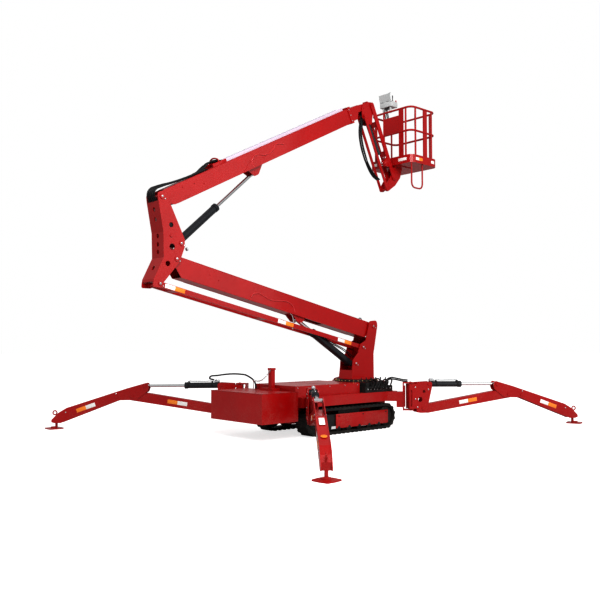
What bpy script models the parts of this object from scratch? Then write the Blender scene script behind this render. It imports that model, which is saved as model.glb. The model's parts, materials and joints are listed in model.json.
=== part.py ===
"""Tracked articulating boom lift, standing on its four spread outrigger legs.

The machine's X axis runs along the tracks, Y across them and Z up. The chassis
carries a slewing turret, a lower boom that is kept parallel to a pair of link
bars, an elbow, an upper boom with one telescopic section, and a cage on a jib.
Places in the boom plane are written as (x, z) pairs, in metres.
"""

import math

import bmesh
import bpy
from mathutils import Matrix, Vector

# ---------------------------------------------------------------- clearances
SEAT = 0.0003            # gap between two pieces that touch
RUN = 0.0008             # radial clearance of a pin or a rod in its hole
SIDES = 16               # sides of running pins and of their holes
PLAIN_SIDES = 12         # sides of other round shapes
EYE_TURN = math.radians(7)       # turns a rod eye's facets off the rod's own edges
WALL_GAP = 0.0185        # side gap between a boom and the cheeks that hold it

# ---------------------------------------------------------------- chassis
TRACK_REAR = -1.04       # outer ends of the track loops
TRACK_FRONT = 1.06
TRACK_HEIGHT = 0.43
TRACK_INNER = 0.375      # Y of the loop's inner and outer faces
TRACK_OUTER = 0.625
BELT = 0.034             # belt thickness between its lugs
LUG = 0.014              # height of a lug on the belt
LUG_COUNT = 46
HULL_HALF = 0.34         # half width of the hull between the tracks
HULL_LOW = 0.20
BEAM_CLEAR = 0.035       # gap between a track and the side beam over it
BEAM_TOP = 0.625
PEDESTAL_TOP = 0.785     # top of the pedestal under the slewing ring
DECK_REAR = -1.15
DECK_FRONT = 0.30
DECK_TOP = 0.79
DECK_HALF = 0.50
POWER_REAR = -1.93
POWER_FRONT = -1.215
POWER_HALF = 0.636
POWER_LOW = 0.267
POWER_TOP = 0.715
SHEET = 0.006            # thickness of the covers
ENGINE_SIZE = (0.46, 0.62, 0.34)
REST_X = -1.21           # boom rest
REST_WIDTH = 0.075
REST_TOP = 1.063

# ---------------------------------------------------------------- outriggers
HINGE_X = 1.16           # vertical hinges of the four swing brackets
HINGE_Y = 0.885
LEG_ANGLES = {           # each leg's direction from the X axis, in degrees
    "front_near": -28.3,
    "front_far": 28.3,
    "rear_near": -130.4,
    "rear_far": 134.5,
}
LEG_PIVOT = (0.205, 0.338)       # (distance from the hinge, height)
LEG_BASE_PIN = (0.315, 0.748)
LEG_ROD_PIN = (1.602, 0.731)
KNEE_PINS = ((1.825, 0.552), (2.086, 0.538))
FOOT_REACH = 3.18
LEG_BARREL = 0.62        # length of the cylinder's barrel from its base pin
LEG_BARREL_R = 0.048
LEG_ROD_R = 0.024
LEG_ROD_LENGTH = 0.80
BRACKET_HALF = 0.078     # half width over the bracket's side plates
BRACKET_PLATE = 0.014
ARM_PLATE = 0.012        # outer arm's side plates
INNER_ARM_HALF = 0.055   # half width of the inner arm's box
PAD_RADIUS = 0.17
SOCKET_LOW = 0.106       # height of the outer arm's underside over the foot's stem

# ---------------------------------------------------------------- turret and booms
SLEW_X = 0.75
RING_R = 0.345
RING_TOP = 0.825
TURRET_LOW = 0.845       # top of the turret's round base plate
CHEEK = 0.018            # thickness of turret and elbow side plates
BOOM_HALF = 0.12         # half width of both booms
PIN_R = 0.030
LINK_PIN_R = 0.022
BOOM_PIVOT = (1.03, 1.752)
LOWER_LENGTH = 4.233     # lower boom, pin to pin
LOWER_SLOPE = math.radians(12.48)
LOWER_TOP = 0.045        # boom faces above and below the line of its pins
LOWER_LOW = -0.235
LINK_OFFSET = (-0.27, -0.367)    # boom pins to link pins, at both ends
LINK_INNER = 0.098
LINK_OUTER = 0.126
LINK_HALF_DEPTH = 0.036
LOWER_BASE_PIN = (0.575, 1.10)
LOWER_ROD_PIN = (-0.68, 1.845)
LOWER_BARREL = 1.05
LOWER_BARREL_R = 0.062
LOWER_ROD_R = 0.032
LOWER_ROD_LENGTH = 1.08
LOWER_SLOT = (1.15, 1.80, 0.075)      # opening for the cylinder: from, to, half width

ELBOW_TOP_PIN = (-0.252, 0.865)  # from the elbow's lower-boom pin
ELBOW_BASE_PIN = (0.073, 0.227)
UPPER_SLOPE = math.radians(27.4)
UPPER_TOP = 0.070
UPPER_LOW = -0.183
UPPER_LENGTH = 4.33
UPPER_ROD_PLACE = (1.829139, -0.263023)    # rod pin, along and across the upper boom
UPPER_BARREL = 0.95
UPPER_BARREL_R = 0.058
UPPER_ROD_R = 0.026
UPPER_ROD_LENGTH = 1.42
UPPER_SLOT = (1.63, 1.91, 0.062)
LUG_PLATE = 0.014        # side plates that hold a cylinder's rod pin
LUG_CAP = 0.0175         # a rod pin's end beyond its lug's inner face
BOOM_WALL = 0.008
SLIDE_GAP = 0.0035       # gap between the outer and the inner section
INNER_TAIL = 0.42        # inner section's rear end, from the upper boom's pin
INNER_NOSE = 4.58        # inner section's front end
HEAD_PIN = (4.78, -0.02)         # boom head's pin, along and across the upper boom

# ---------------------------------------------------------------- jib and cage
HEAD_DRAWN = (0.897981, 5.713745)    # the head's pin, which the places below are drawn from
JIB_FRONT_PIN = (1.11, 5.785)
JIB_REAR_PIN = (0.915, 5.545)
JIB_ARM = (0.60, -1.25)          # from an arm's upper to its lower pin
JIB_BASE_PIN = (1.07, 5.47)
JIB_ROD_PIN = (1.45, 4.76)
JIB_BARREL = 0.62
JIB_BARREL_R = 0.043
JIB_ROD_R = 0.022
JIB_ROD_LENGTH = 0.62
HEAD_CHEEK_IN = 0.050    # cheeks of the boom head and of the cage mount
HEAD_CHEEK_OUT = 0.066
ARM_IN = 0.070           # bars of both jib arms
ARM_OUT = 0.086
JIB_PIN_R = 0.018
REAR_ARM_HALF = 0.027    # half depth of the rear arm's bars
CAGE_BACK = 1.69
CAGE_FRONT = 2.46
CAGE_HALF = 0.52
CAGE_FLOOR = 4.765
CAGE_HEIGHT = 1.065      # top rail above the underside of the floor
TOE_BOARD = 0.15
RAIL_R = 0.019
MID_RAIL = 0.61          # middle rail above the underside of the floor

RED = (0.56, 0.012, 0.016)
BLACK = (0.012, 0.012, 0.013)
STEEL = (0.62, 0.62, 0.64)
GREY = (0.42, 0.43, 0.43)


# ---------------------------------------------------------------- scene and materials
def clear_scene():
    for item in list(bpy.data.objects):
        bpy.data.objects.remove(item, do_unlink=True)


def material(name, colour, roughness, metallic):
    """A Principled finish, made once and then reused."""
    found = bpy.data.materials.get(name)
    if found:
        return found
    made = bpy.data.materials.new(name)
    made.use_nodes = True
    shader = made.node_tree.nodes["Principled BSDF"]
    shader.inputs["Base Color"].default_value = (*colour, 1.0)
    shader.inputs["Roughness"].default_value = roughness
    shader.inputs["Metallic"].default_value = metallic
    return made


def finish(kind):
    """The named finishes of the machine."""
    table = {
        "paint": ("red_paint", RED, 0.28, 0.0),
        "dark": ("dark_paint", BLACK, 0.45, 0.0),
        "rubber": ("black_rubber", BLACK, 0.8, 0.0),
        "chrome": ("chrome_rod", STEEL, 0.12, 1.0),
        "grey": ("grey_box", GREY, 0.45, 0.0),
    }
    return material(*table[kind])


# ---------------------------------------------------------------- making shapes
def link(item):
    bpy.data.collections["boom_lift"].objects.link(item)
    return item


def take_mesh(item):
    """Turn a curve or a modified object into a plain mesh object with welded caps."""
    graph = bpy.context.evaluated_depsgraph_get()
    mesh = bpy.data.meshes.new_from_object(item.evaluated_get(graph))
    mesh.transform(item.matrix_world)
    work = bmesh.new()
    work.from_mesh(mesh)
    bmesh.ops.remove_doubles(work, verts=work.verts, dist=0.00002)
    bmesh.ops.dissolve_limit(work, angle_limit=0.0005, verts=work.verts, edges=work.edges)
    bmesh.ops.recalc_face_normals(work, faces=work.faces)
    work.to_mesh(mesh)
    work.free()
    made = link(bpy.data.objects.new(item.name, mesh))
    bpy.data.objects.remove(item, do_unlink=True)
    return made


def box(low, high):
    """A block between two opposite corners."""
    bpy.ops.mesh.primitive_cube_add(size=1.0)
    item = bpy.context.object
    size = [high[i] - low[i] for i in range(3)]
    middle = [(high[i] + low[i]) / 2 for i in range(3)]
    item.data.transform(Matrix.Translation(middle) @ Matrix.Diagonal((*size, 1.0)))
    return item


def rod(start, end, radius, sides=SIDES):
    """A round bar between two points."""
    start, end = Vector(start), Vector(end)
    along = end - start
    bpy.ops.mesh.primitive_cylinder_add(vertices=sides, radius=radius, depth=along.length)
    item = bpy.context.object
    turn = along.to_track_quat("Z", "Y").to_matrix().to_4x4()
    item.data.transform(Matrix.Translation((start + end) / 2) @ turn)
    return item


def cross_rod(place, half, radius, sides=SIDES):
    """A round bar across the boom plane, centred on a place (x, z)."""
    x, z = place
    return rod((x, -half, z), (x, half, z), radius, sides)


def corner_arc(before, corner, after, radius, steps=3):
    """Points that round one corner of an outline."""
    corner = Vector(corner)
    to_before = (Vector(before) - corner)
    to_after = (Vector(after) - corner)
    angle = to_before.angle(to_after)
    reach = radius / math.tan(angle / 2)
    reach = min(reach, 0.48 * to_before.length, 0.48 * to_after.length)
    real = reach * math.tan(angle / 2)
    start = corner + to_before.normalized() * reach
    end = corner + to_after.normalized() * reach
    toward = (to_before.normalized() + to_after.normalized()).normalized()
    centre = corner + toward * (real / math.sin(angle / 2))
    first, last = start - centre, end - centre
    begin = math.atan2(first.y, first.x)
    sweep = math.atan2(last.y, last.x) - begin
    if sweep > math.pi:
        sweep -= 2 * math.pi
    if sweep < -math.pi:
        sweep += 2 * math.pi
    turns = [begin + sweep * step / steps for step in range(steps + 1)]
    return [centre + Vector((real * math.cos(t), real * math.sin(t))) for t in turns]


def rounded(outline, steps=3):
    """An outline of (x, z) or (x, z, radius) corners, with its corners rounded."""
    points = []
    count = len(outline)
    for index, corner in enumerate(outline):
        place = corner[:2]
        if len(corner) == 2 or corner[2] == 0:
            points.append(Vector(place))
            continue
        before = outline[index - 1][:2]
        after = outline[(index + 1) % count][:2]
        points.extend(corner_arc(before, place, after, corner[2], steps))
    return points


def circle(place, radius, sides):
    """Points of a round hole in an outline."""
    turns = [2 * math.pi * step / sides for step in range(sides)]
    return [Vector((place[0] + radius * math.cos(t), place[1] + radius * math.sin(t)))
            for t in turns]


def add_spline(curve, points):
    spline = curve.splines.new("POLY")
    spline.points.add(len(points) - 1)
    for point, place in zip(spline.points, points):
        point.co = (place[0], place[1], 0.0, 1.0)
    spline.use_cyclic_u = True


def plate(outline, low, high, holes=(), flat=False, sides=PLAIN_SIDES):
    """A flat outline given in (x, z), thick from low to high along Y.

    With flat set, the outline is in (x, y) and the thickness runs along Z.
    Holes are (x, z, radius).
    """
    curve = bpy.data.curves.new("outline", "CURVE")
    curve.dimensions = "2D"
    curve.fill_mode = "BOTH"
    curve.extrude = (high - low) / 2
    add_spline(curve, rounded(outline))
    for hole in holes:
        add_spline(curve, circle(hole[:2], hole[2], sides))
    item = link(bpy.data.objects.new("outline", curve))
    middle = (low + high) / 2
    if flat:
        item.matrix_world = Matrix.Translation((0, 0, middle))
    else:
        item.matrix_world = Matrix.Translation((0, middle, 0)) @ Matrix.Rotation(math.pi / 2, 4, "X")
    bpy.context.view_layer.update()
    return take_mesh(item)


def tube(points, radius, cyclic=False, sides=2):
    """A bent tube along points that are already on its centre line."""
    curve = bpy.data.curves.new("tube", "CURVE")
    curve.dimensions = "3D"
    curve.bevel_depth = radius
    curve.bevel_resolution = sides
    curve.use_fill_caps = not cyclic
    spline = curve.splines.new("POLY")
    spline.points.add(len(points) - 1)
    for point, place in zip(spline.points, points):
        point.co = (*place, 1.0)
    spline.use_cyclic_u = cyclic
    item = link(bpy.data.objects.new("tube", curve))
    bpy.context.view_layer.update()
    return take_mesh(item)


def combine(base, tool, operation):
    """Join or cut one shape with another, which is used up."""
    modifier = base.modifiers.new("combine", "BOOLEAN")
    modifier.operation = operation
    modifier.solver = "EXACT"
    modifier.object = tool
    tool.hide_render = True
    tool.display_type = "WIRE"
    bpy.context.view_layer.update()
    graph = bpy.context.evaluated_depsgraph_get()
    mesh = bpy.data.meshes.new_from_object(base.evaluated_get(graph))
    base.modifiers.clear()
    base.data = mesh
    bpy.data.objects.remove(tool, do_unlink=True)
    return base


def join(*pieces):
    base = pieces[0]
    for piece in pieces[1:]:
        combine(base, piece, "UNION")
    return base


def cut(base, *tools):
    for tool in tools:
        combine(base, tool, "DIFFERENCE")
    return base


def both_sides(make):
    """The same piece on the near and the far side: make(sign) for -1 and +1."""
    return [make(-1), make(1)]


def side_plates(outline, inner, outer, holes=(), sides=PLAIN_SIDES):
    """Two equal plates, at -outer..-inner and at inner..outer."""
    return both_sides(lambda s: plate(outline, min(s * inner, s * outer),
                                      max(s * inner, s * outer), holes, sides=sides))


def pin(place, half, radius=PIN_R, head=0.010):
    """A cross pin with a wider head on each end."""
    shank = cross_rod(place, half + head * 0.5, radius)
    heads = both_sides(lambda s: rod((place[0], s * (half - 0.002), place[1]),
                                     (place[0], s * (half + head), place[1]),
                                     radius * 1.35, 8))
    return join(shank, *heads)


def frame(name, place, parent=None, turn=0.0, tilt=0.0):
    """An empty on a joint's axis, turned about Z and then tilted about Y."""
    item = link(bpy.data.objects.new(name, None))
    item.empty_display_size = 0.1
    item.parent = parent
    item.location = place
    item.rotation_euler = (0.0, tilt, turn)
    return item


def name_part(item, name, kind, parent):
    """Give a finished shape its name, finish, collection and parent."""
    item.name = name
    item.data.name = name
    item.data.materials.clear()
    item.data.materials.append(finish(kind))
    for owner in list(item.users_collection):
        owner.objects.unlink(item)
    link(item)
    item.data.shade_smooth()
    item.data.set_sharp_from_angle(angle=math.radians(35))
    item.parent = parent
    return item


def add(a, b):
    return (a[0] + b[0], a[1] + b[1])


def minus(a, b):
    return (a[0] - b[0], a[1] - b[1])


def span(a, b):
    return math.hypot(b[0] - a[0], b[1] - a[1])


def tilt_towards(a, b):
    """The turn about Y that points local +X from a to b."""
    return -math.atan2(b[1] - a[1], b[0] - a[0])


def at(place, y=0.0):
    return (place[0], y, place[1])


def into(place, origin, tilt):
    """A place (x, z) of the machine, in a frame that is tilted about Y."""
    dx, dz = place[0] - origin[0], place[1] - origin[1]
    return (dx * math.cos(tilt) - dz * math.sin(tilt),
            dx * math.sin(tilt) + dz * math.cos(tilt))


def out_of(place, origin, tilt):
    """The reverse of into."""
    x, z = place
    return (origin[0] + x * math.cos(tilt) + z * math.sin(tilt),
            origin[1] - x * math.sin(tilt) + z * math.cos(tilt))


# ---------------------------------------------------------------- driven places
ELBOW_PIN = (BOOM_PIVOT[0] - LOWER_LENGTH * math.cos(LOWER_SLOPE),
             BOOM_PIVOT[1] + LOWER_LENGTH * math.sin(LOWER_SLOPE))
UPPER_PIVOT = add(ELBOW_PIN, ELBOW_TOP_PIN)
UPPER_BASE_PIN = add(ELBOW_PIN, ELBOW_BASE_PIN)
UPPER_ROD_PIN = out_of(UPPER_ROD_PLACE, UPPER_PIVOT, -UPPER_SLOPE)
TURRET_LINK_PIN = add(BOOM_PIVOT, LINK_OFFSET)
ELBOW_LINK_PIN = add(ELBOW_PIN, LINK_OFFSET)
HEAD_PIVOT = out_of(HEAD_PIN, UPPER_PIVOT, -UPPER_SLOPE)
JIB_SHIFT = minus(HEAD_PIVOT, HEAD_DRAWN)
MOUNT_FRONT_PIN = add(JIB_FRONT_PIN, JIB_ARM)
MOUNT_REAR_PIN = add(JIB_REAR_PIN, JIB_ARM)
CHEEK_IN = BOOM_HALF + WALL_GAP
BEAM_LOW = TRACK_HEIGHT + BEAM_CLEAR
CHEEK_OUT = CHEEK_IN + CHEEK


# ---------------------------------------------------------------- chassis
def corner_arm(sx, sy):
    """Fixed arm from a hull corner to the two lugs of a swing bracket's hinge."""
    start = Vector((sx * 0.86, sy * 0.50))
    hinge = Vector((sx * HINGE_X, sy * HINGE_Y))
    along = (hinge - start).normalized()
    reach = (hinge - start).length
    turn = Matrix.Translation((hinge.x, hinge.y, 0)) @ Matrix.Rotation(
        math.atan2(along.y, along.x), 4, "Z")
    beam = box((-reach, -0.075, BEAM_LOW - 0.003), (-0.118, 0.075, BEAM_TOP - 0.005))
    drop = box((-0.235, -0.073, 0.36), (-0.118, 0.073, 0.60))
    end_plate = box((-0.130, -0.080, 0.305), (-0.112, 0.080, 0.785))
    lug_outline = [(-0.125, -0.062), (0.0, -0.062, 0), (0.062, -0.062, 0.06),
                   (0.062, 0.062, 0.06), (0.0, 0.062), (-0.125, 0.062)]
    lugs = [plate(lug_outline, low, low + 0.020, flat=True) for low in (0.305, 0.765)]
    hinge_pin = rod((0, 0, 0.300), (0, 0, 0.790), 0.022, SIDES)
    arm = join(beam, drop, end_plate, *lugs, hinge_pin)
    arm.data.transform(turn)
    return arm


def chassis_frame(machine):
    hull = box((-1.12, -HULL_HALF, HULL_LOW), (1.12, HULL_HALF, BEAM_TOP))
    beams = both_sides(lambda s: box((-1.12, min(s * 0.30, s * TRACK_OUTER), BEAM_LOW),
                                     (1.12, max(s * 0.30, s * TRACK_OUTER), BEAM_TOP)))
    bulkhead = box((POWER_FRONT + SEAT, -HULL_HALF + 0.04, POWER_LOW + 0.01),
                   (-1.0, HULL_HALF - 0.04, 0.60))
    pedestal = box((SLEW_X - 0.40, -0.345, BEAM_TOP - 0.05), (SLEW_X + 0.37, 0.345, PEDESTAL_TOP))
    rails = both_sides(lambda s: box((POWER_REAR + 0.05, s * 0.22 - 0.04, 0.285),
                                     (-1.05, s * 0.22 + 0.04, 0.345)))
    arms = [corner_arm(sx, sy) for sx in (-1, 1) for sy in (-1, 1)]
    item = join(hull, *beams, bulkhead, pedestal, *rails, *arms)
    return name_part(item, "chassis_frame", "paint", machine)


def deck_cover(machine):
    outer = box((DECK_REAR, -DECK_HALF, BEAM_TOP + SEAT), (DECK_FRONT, DECK_HALF, DECK_TOP))
    inner = box((DECK_REAR + SHEET, -DECK_HALF + SHEET, BEAM_TOP - 0.1),
                (DECK_FRONT - SHEET, DECK_HALF - SHEET, DECK_TOP - SHEET))
    return name_part(cut(outer, inner), "deck_cover", "paint", machine)


def power_cover(machine):
    outer = box((POWER_REAR, -POWER_HALF, POWER_LOW), (POWER_FRONT, POWER_HALF, POWER_TOP))
    inner = box((POWER_REAR + SHEET, -POWER_HALF + SHEET, POWER_LOW - 0.1),
                (POWER_FRONT - SHEET, POWER_HALF - SHEET, POWER_TOP - SHEET))
    slots = both_sides(lambda s: box((POWER_FRONT - 0.1, s * 0.22 - 0.045, 0.2),
                                     (POWER_FRONT + 0.1, s * 0.22 + 0.045, 0.35)))
    return name_part(cut(outer, inner, *slots), "power_cover", "paint", machine)


def engine_block(machine):
    length, width, height = ENGINE_SIZE
    middle = (POWER_REAR + POWER_FRONT) / 2
    item = box((middle - length / 2, -width / 2, 0.345 + SEAT),
               (middle + length / 2, width / 2, 0.345 + height))
    return name_part(item, "engine_block", "dark", machine)


def boom_rest(machine):
    base_low = POWER_TOP + SEAT
    half = REST_WIDTH / 2
    foot = box((REST_X - 0.12, -0.16, base_low), (REST_X + 0.04, 0.16, base_low + 0.035))
    post = box((REST_X - half, -half, base_low + 0.01), (REST_X + half, half, REST_TOP - 0.02))
    cap = box((REST_X - half - 0.008, -half - 0.008, REST_TOP - 0.03),
              (REST_X + half + 0.008, half + 0.008, REST_TOP))
    return name_part(join(foot, post, cap), "boom_rest", "paint", machine)


def valve_block(machine):
    body = box((0.335, -0.60, BEAM_TOP + SEAT), (1.02, -0.40, BEAM_TOP + 0.10))
    blocks = [box((x, -0.585, BEAM_TOP + 0.09), (x + 0.075, -0.415, BEAM_TOP + 0.165))
              for x in (0.37, 0.49, 0.61, 0.73, 0.85)]
    return name_part(join(body, *blocks), "valve_block", "dark", machine)


def track_outline(offset, lugs=0, depth=0.0):
    """A stadium-shaped loop, offset outwards, with lugs standing out if asked for."""
    radius = TRACK_HEIGHT / 2 - LUG
    rear, front = TRACK_REAR + radius + LUG, TRACK_FRONT - radius - LUG
    middle = TRACK_HEIGHT / 2
    straight = front - rear
    reach = radius + offset
    total = 2 * straight + 2 * math.pi * radius

    def place(s, lift):
        s = s % total
        if s < straight:
            return (rear + s, middle - reach - lift)
        s -= straight
        if s < math.pi * radius:
            turn = s / radius - math.pi / 2
            return (front + (reach + lift) * math.cos(turn), middle + (reach + lift) * math.sin(turn))
        s -= math.pi * radius
        if s < straight:
            return (front - s, middle + reach + lift)
        turn = (s - straight) / radius + math.pi / 2
        return (rear + (reach + lift) * math.cos(turn), middle + (reach + lift) * math.sin(turn))

    if not lugs:
        steps = 44
        return [place(total * step / steps, 0.0) for step in range(steps)]
    points = []
    pitch = total / lugs
    for index in range(lugs):
        start = index * pitch
        points.append(place(start, 0.0))
        points.append(place(start + pitch * 0.10, depth))
        points.append(place(start + pitch * 0.45, depth))
        points.append(place(start + pitch * 0.55, 0.0))
    return points


def track_belt(side, sign, machine):
    curve = bpy.data.curves.new("belt", "CURVE")
    curve.dimensions = "2D"
    curve.fill_mode = "BOTH"
    curve.extrude = (TRACK_OUTER - TRACK_INNER) / 2
    add_spline(curve, track_outline(0.0, LUG_COUNT, LUG))
    add_spline(curve, track_outline(-BELT))
    item = link(bpy.data.objects.new("belt", curve))
    middle = sign * (TRACK_OUTER + TRACK_INNER) / 2
    item.matrix_world = Matrix.Translation((0, middle, 0)) @ Matrix.Rotation(math.pi / 2, 4, "X")
    bpy.context.view_layer.update()
    return name_part(take_mesh(item), "track_belt_" + side, "rubber", machine)


def track_frame(side, sign, machine):
    """Track beam with its end wheels and its rollers, bolted to the hull."""
    radius = TRACK_HEIGHT / 2 - LUG - BELT - 0.010
    middle = TRACK_HEIGHT / 2
    rear = TRACK_REAR + TRACK_HEIGHT / 2
    front = TRACK_FRONT - TRACK_HEIGHT / 2
    centre = sign * (TRACK_INNER + TRACK_OUTER) / 2

    def wheel(x, z, size, half):
        return rod((x, centre - half, z), (x, centre + half, z), size, 16)

    beam_outline = [(rear + 0.14, 0.125), (front - 0.10, 0.125), (front + 0.02, 0.16),
                    (front + 0.02, 0.27), (front - 0.10, 0.315), (rear + 0.14, 0.315)]
    beam = plate(beam_outline, centre - 0.075, centre + 0.075)
    axle = box((rear, centre - 0.03, middle - 0.03), (front, centre + 0.03, middle + 0.03))
    pieces = [beam, axle, wheel(rear, middle, radius, 0.085), wheel(front, middle, radius, 0.085)]
    for step in range(4):
        x = rear + 0.34 + step * (front - rear - 0.62) / 3
        pieces.append(wheel(x, LUG + BELT + 0.002 + 0.06, 0.06, 0.06))
    skid_top = TRACK_HEIGHT - LUG - BELT - SEAT
    pieces.append(box((-0.25, centre - 0.04, 0.30), (0.25, centre + 0.04, skid_top)))
    for x in (-0.45, 0.45):
        low, high = sorted((sign * (HULL_HALF + SEAT), centre))
        pieces.append(box((x - 0.09, low, 0.20), (x + 0.09, high, 0.30)))
    return name_part(join(*pieces), "track_frame_" + side, "paint", machine)


def slew_ring(machine):
    ring = rod((SLEW_X, 0, PEDESTAL_TOP + SEAT), (SLEW_X, 0, RING_TOP), RING_R, 48)
    hole = rod((SLEW_X, 0, PEDESTAL_TOP - 0.1), (SLEW_X, 0, RING_TOP + 0.1), 0.20, 32)
    return name_part(cut(ring, hole), "slew_ring", "dark", machine)


# ---------------------------------------------------------------- outriggers
def leg_bracket(name, swing):
    """Swing bracket: a hinge tube, two side plates and their cross plates."""
    outline = [(-0.052, 0.333), (0.080, 0.333), (0.080, 0.275), (0.150, 0.262, 0.03),
               (0.268, 0.262, 0.05), (0.300, 0.420), (0.366, 0.700), (0.372, 0.795, 0.04),
               (0.090, 0.782), (0.090, 0.757), (-0.052, 0.757)]
    slot = [(-0.030, 0.376), (0.0, 0.376), (0.0, 0.646), (-0.030, 0.646)]
    holes = [(0.148, 0.491, 0.042), (0.219, 0.625, 0.026)]
    inner = BRACKET_HALF - BRACKET_PLATE
    sides = side_plates(outline, inner, BRACKET_HALF, holes)
    for item in sides:
        cutter = plate(slot, -0.2, 0.2)
        cut(item, cutter)
    barrel = rod((0, 0, 0.333), (0, 0, 0.757), 0.045, PLAIN_SIDES)
    webs = [box((-0.03, -inner - 0.004, z), (0.10, inner + 0.004, z + 0.012))
            for z in (0.345, 0.735)]
    hole = rod((0, 0, 0.2), (0, 0, 0.9), 0.022 + RUN)
    pins = [pin(LEG_PIVOT, BRACKET_HALF, 0.024), pin(LEG_BASE_PIN, BRACKET_HALF, 0.020)]
    item = join(*sides, barrel, *webs)
    cut(item, hole)
    join(item, *pins)
    return name_part(item, name + "_bracket", "paint", swing)


def rebased(outline, origin):
    """An outline moved so that origin is at its zero."""
    return [(p[0] - origin[0], p[1] - origin[1], *p[2:]) for p in outline]


def leg_inner(name, lift):
    """Inner arm, a box between the bracket's pin and the outer arm's side plates."""
    outline = [(0.205, 0.262, 0.05), (0.300, 0.258), (1.955, 0.507), (2.150, 0.500, 0.03),
               (2.150, 0.585, 0.03), (1.560, 0.612), (0.290, 0.412), (0.135, 0.400, 0.06),
               (0.135, 0.262, 0.06)]
    item = plate(rebased(outline, LEG_PIVOT), -INNER_ARM_HALF, INNER_ARM_HALF)
    bore = cross_rod((0, 0), 0.2, 0.024 + RUN)
    knee_holes = [cross_rod(minus(p, LEG_PIVOT), 0.2, 0.018 + RUN) for p in KNEE_PINS]
    boss_end = BRACKET_HALF - BRACKET_PLATE - 0.0006
    bosses = both_sides(lambda s: rod((0, s * (INNER_ARM_HALF - 0.01), 0), (0, s * boss_end, 0),
                                      0.045, PLAIN_SIDES))
    cut(join(item, *bosses), bore, *knee_holes)
    return name_part(item, name + "_inner_arm", "paint", lift)


def leg_outer(name, lift):
    """Outer arm: two side plates over the inner arm, joined by a box towards the foot."""
    outline = [(1.573, 0.787, 0.03), (1.908, 0.692), (2.948, 0.356), (3.089, 0.272),
               (3.205, 0.155), (3.205, 0.115), (3.150, 0.100), (3.047, 0.102),
               (2.043, 0.490), (1.742, 0.498, 0.03), (1.560, 0.640, 0.03), (1.535, 0.715, 0.03)]
    inner = INNER_ARM_HALF + 0.0015
    outer = inner + ARM_PLATE
    places = rebased(outline, LEG_PIVOT)
    sides = side_plates(places, inner, outer)
    core = [(2.20, 0.590), (2.948, 0.350), (3.085, 0.266), (3.150, 0.195), (3.150, SOCKET_LOW),
            (3.047, SOCKET_LOW + 0.002), (2.20, 0.445)]
    box_part = plate(rebased(core, LEG_PIVOT), -outer + 0.002, outer - 0.002)
    pins = [pin(minus(p, LEG_PIVOT), outer, 0.018) for p in KNEE_PINS]
    caps = both_sides(lambda s: rod(at(minus(LEG_ROD_PIN, LEG_PIVOT), s * (inner + 0.002)),
                                    at(minus(LEG_ROD_PIN, LEG_PIVOT), s * (outer + 0.010)), 0.028, 8))
    item = join(*sides, box_part, *pins, *caps)
    return name_part(item, name + "_outer_arm", "paint", lift)


def foot(name, lift):
    """Foot plate on a short stem under the outer arm's tip."""
    centre = FOOT_REACH - LEG_PIVOT[0]
    low = -LEG_PIVOT[1]
    outline = []
    for step in range(8):
        reach = PAD_RADIUS if step % 2 == 0 else PAD_RADIUS * 0.78
        turn = math.pi / 4 * step
        outline.append((centre + reach * math.cos(turn), reach * math.sin(turn), 0.02))
    pad = plate(outline, low, low + 0.016, flat=True)
    dome = rod((centre, 0, low + 0.01), (centre, 0, low + 0.036), 0.055, PLAIN_SIDES)
    stem = rod((centre - 0.04, 0, low + 0.03), (centre - 0.04, 0, low + SOCKET_LOW - 2 * SEAT), 0.022, 8)
    item = join(pad, dome, stem)
    return name_part(item, name + "_foot", "paint", lift)


def barrel_shape(length, radius, bore, eye, eye_half, pin_radius):
    """Cylinder barrel along +X from its base pin: an eye, a tube and a gland ring."""
    body = rod((eye * 0.75, 0, 0), (length - 0.03, 0, 0), radius, PLAIN_SIDES)
    gland = rod((length - 0.05, 0, 0), (length, 0, 0), radius * 1.12, PLAIN_SIDES)
    knuckle = cross_rod((0, 0), eye_half, eye, PLAIN_SIDES)
    shape = join(body, gland, knuckle)
    hollow = rod((eye + 0.005, 0, 0), (length + 0.05, 0, 0), bore, PLAIN_SIDES)
    pin_hole = cross_rod((0, 0), 0.3, pin_radius + RUN)
    return cut(shape, hollow, pin_hole)


def rod_shape(reach, length, radius, eye, eye_half):
    """Chrome rod that ends in an eye at reach, drawn from the base pin's place."""
    bar = rod((reach - length, 0, 0), (reach, 0, 0), radius, PLAIN_SIDES)
    knuckle = cross_rod((0, 0), eye_half, eye, PLAIN_SIDES)
    turn = Matrix.Rotation(EYE_TURN, 4, "Y")
    knuckle.data.transform(Matrix.Translation((reach, 0, 0)) @ turn)
    return join(bar, knuckle)


def cylinder(name, base, tip, sizes, parent):
    """A hydraulic cylinder from its base pin to its rod pin, as barrel and rod."""
    tilt = tilt_towards(base, tip)
    place = frame("axis_" + name, at(base), parent, tilt=tilt)
    barrel = barrel_shape(sizes["barrel"], sizes["radius"], sizes["rod"] + RUN, sizes["eye"],
                          sizes["eye_half"], sizes["pin"])
    name_part(barrel, name + "_barrel", "dark", place)
    piston = rod_shape(span(base, tip), sizes["length"], sizes["rod"], sizes["rod_eye"],
                       sizes["rod_half"])
    name_part(piston, name + "_rod", "chrome", place)


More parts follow.
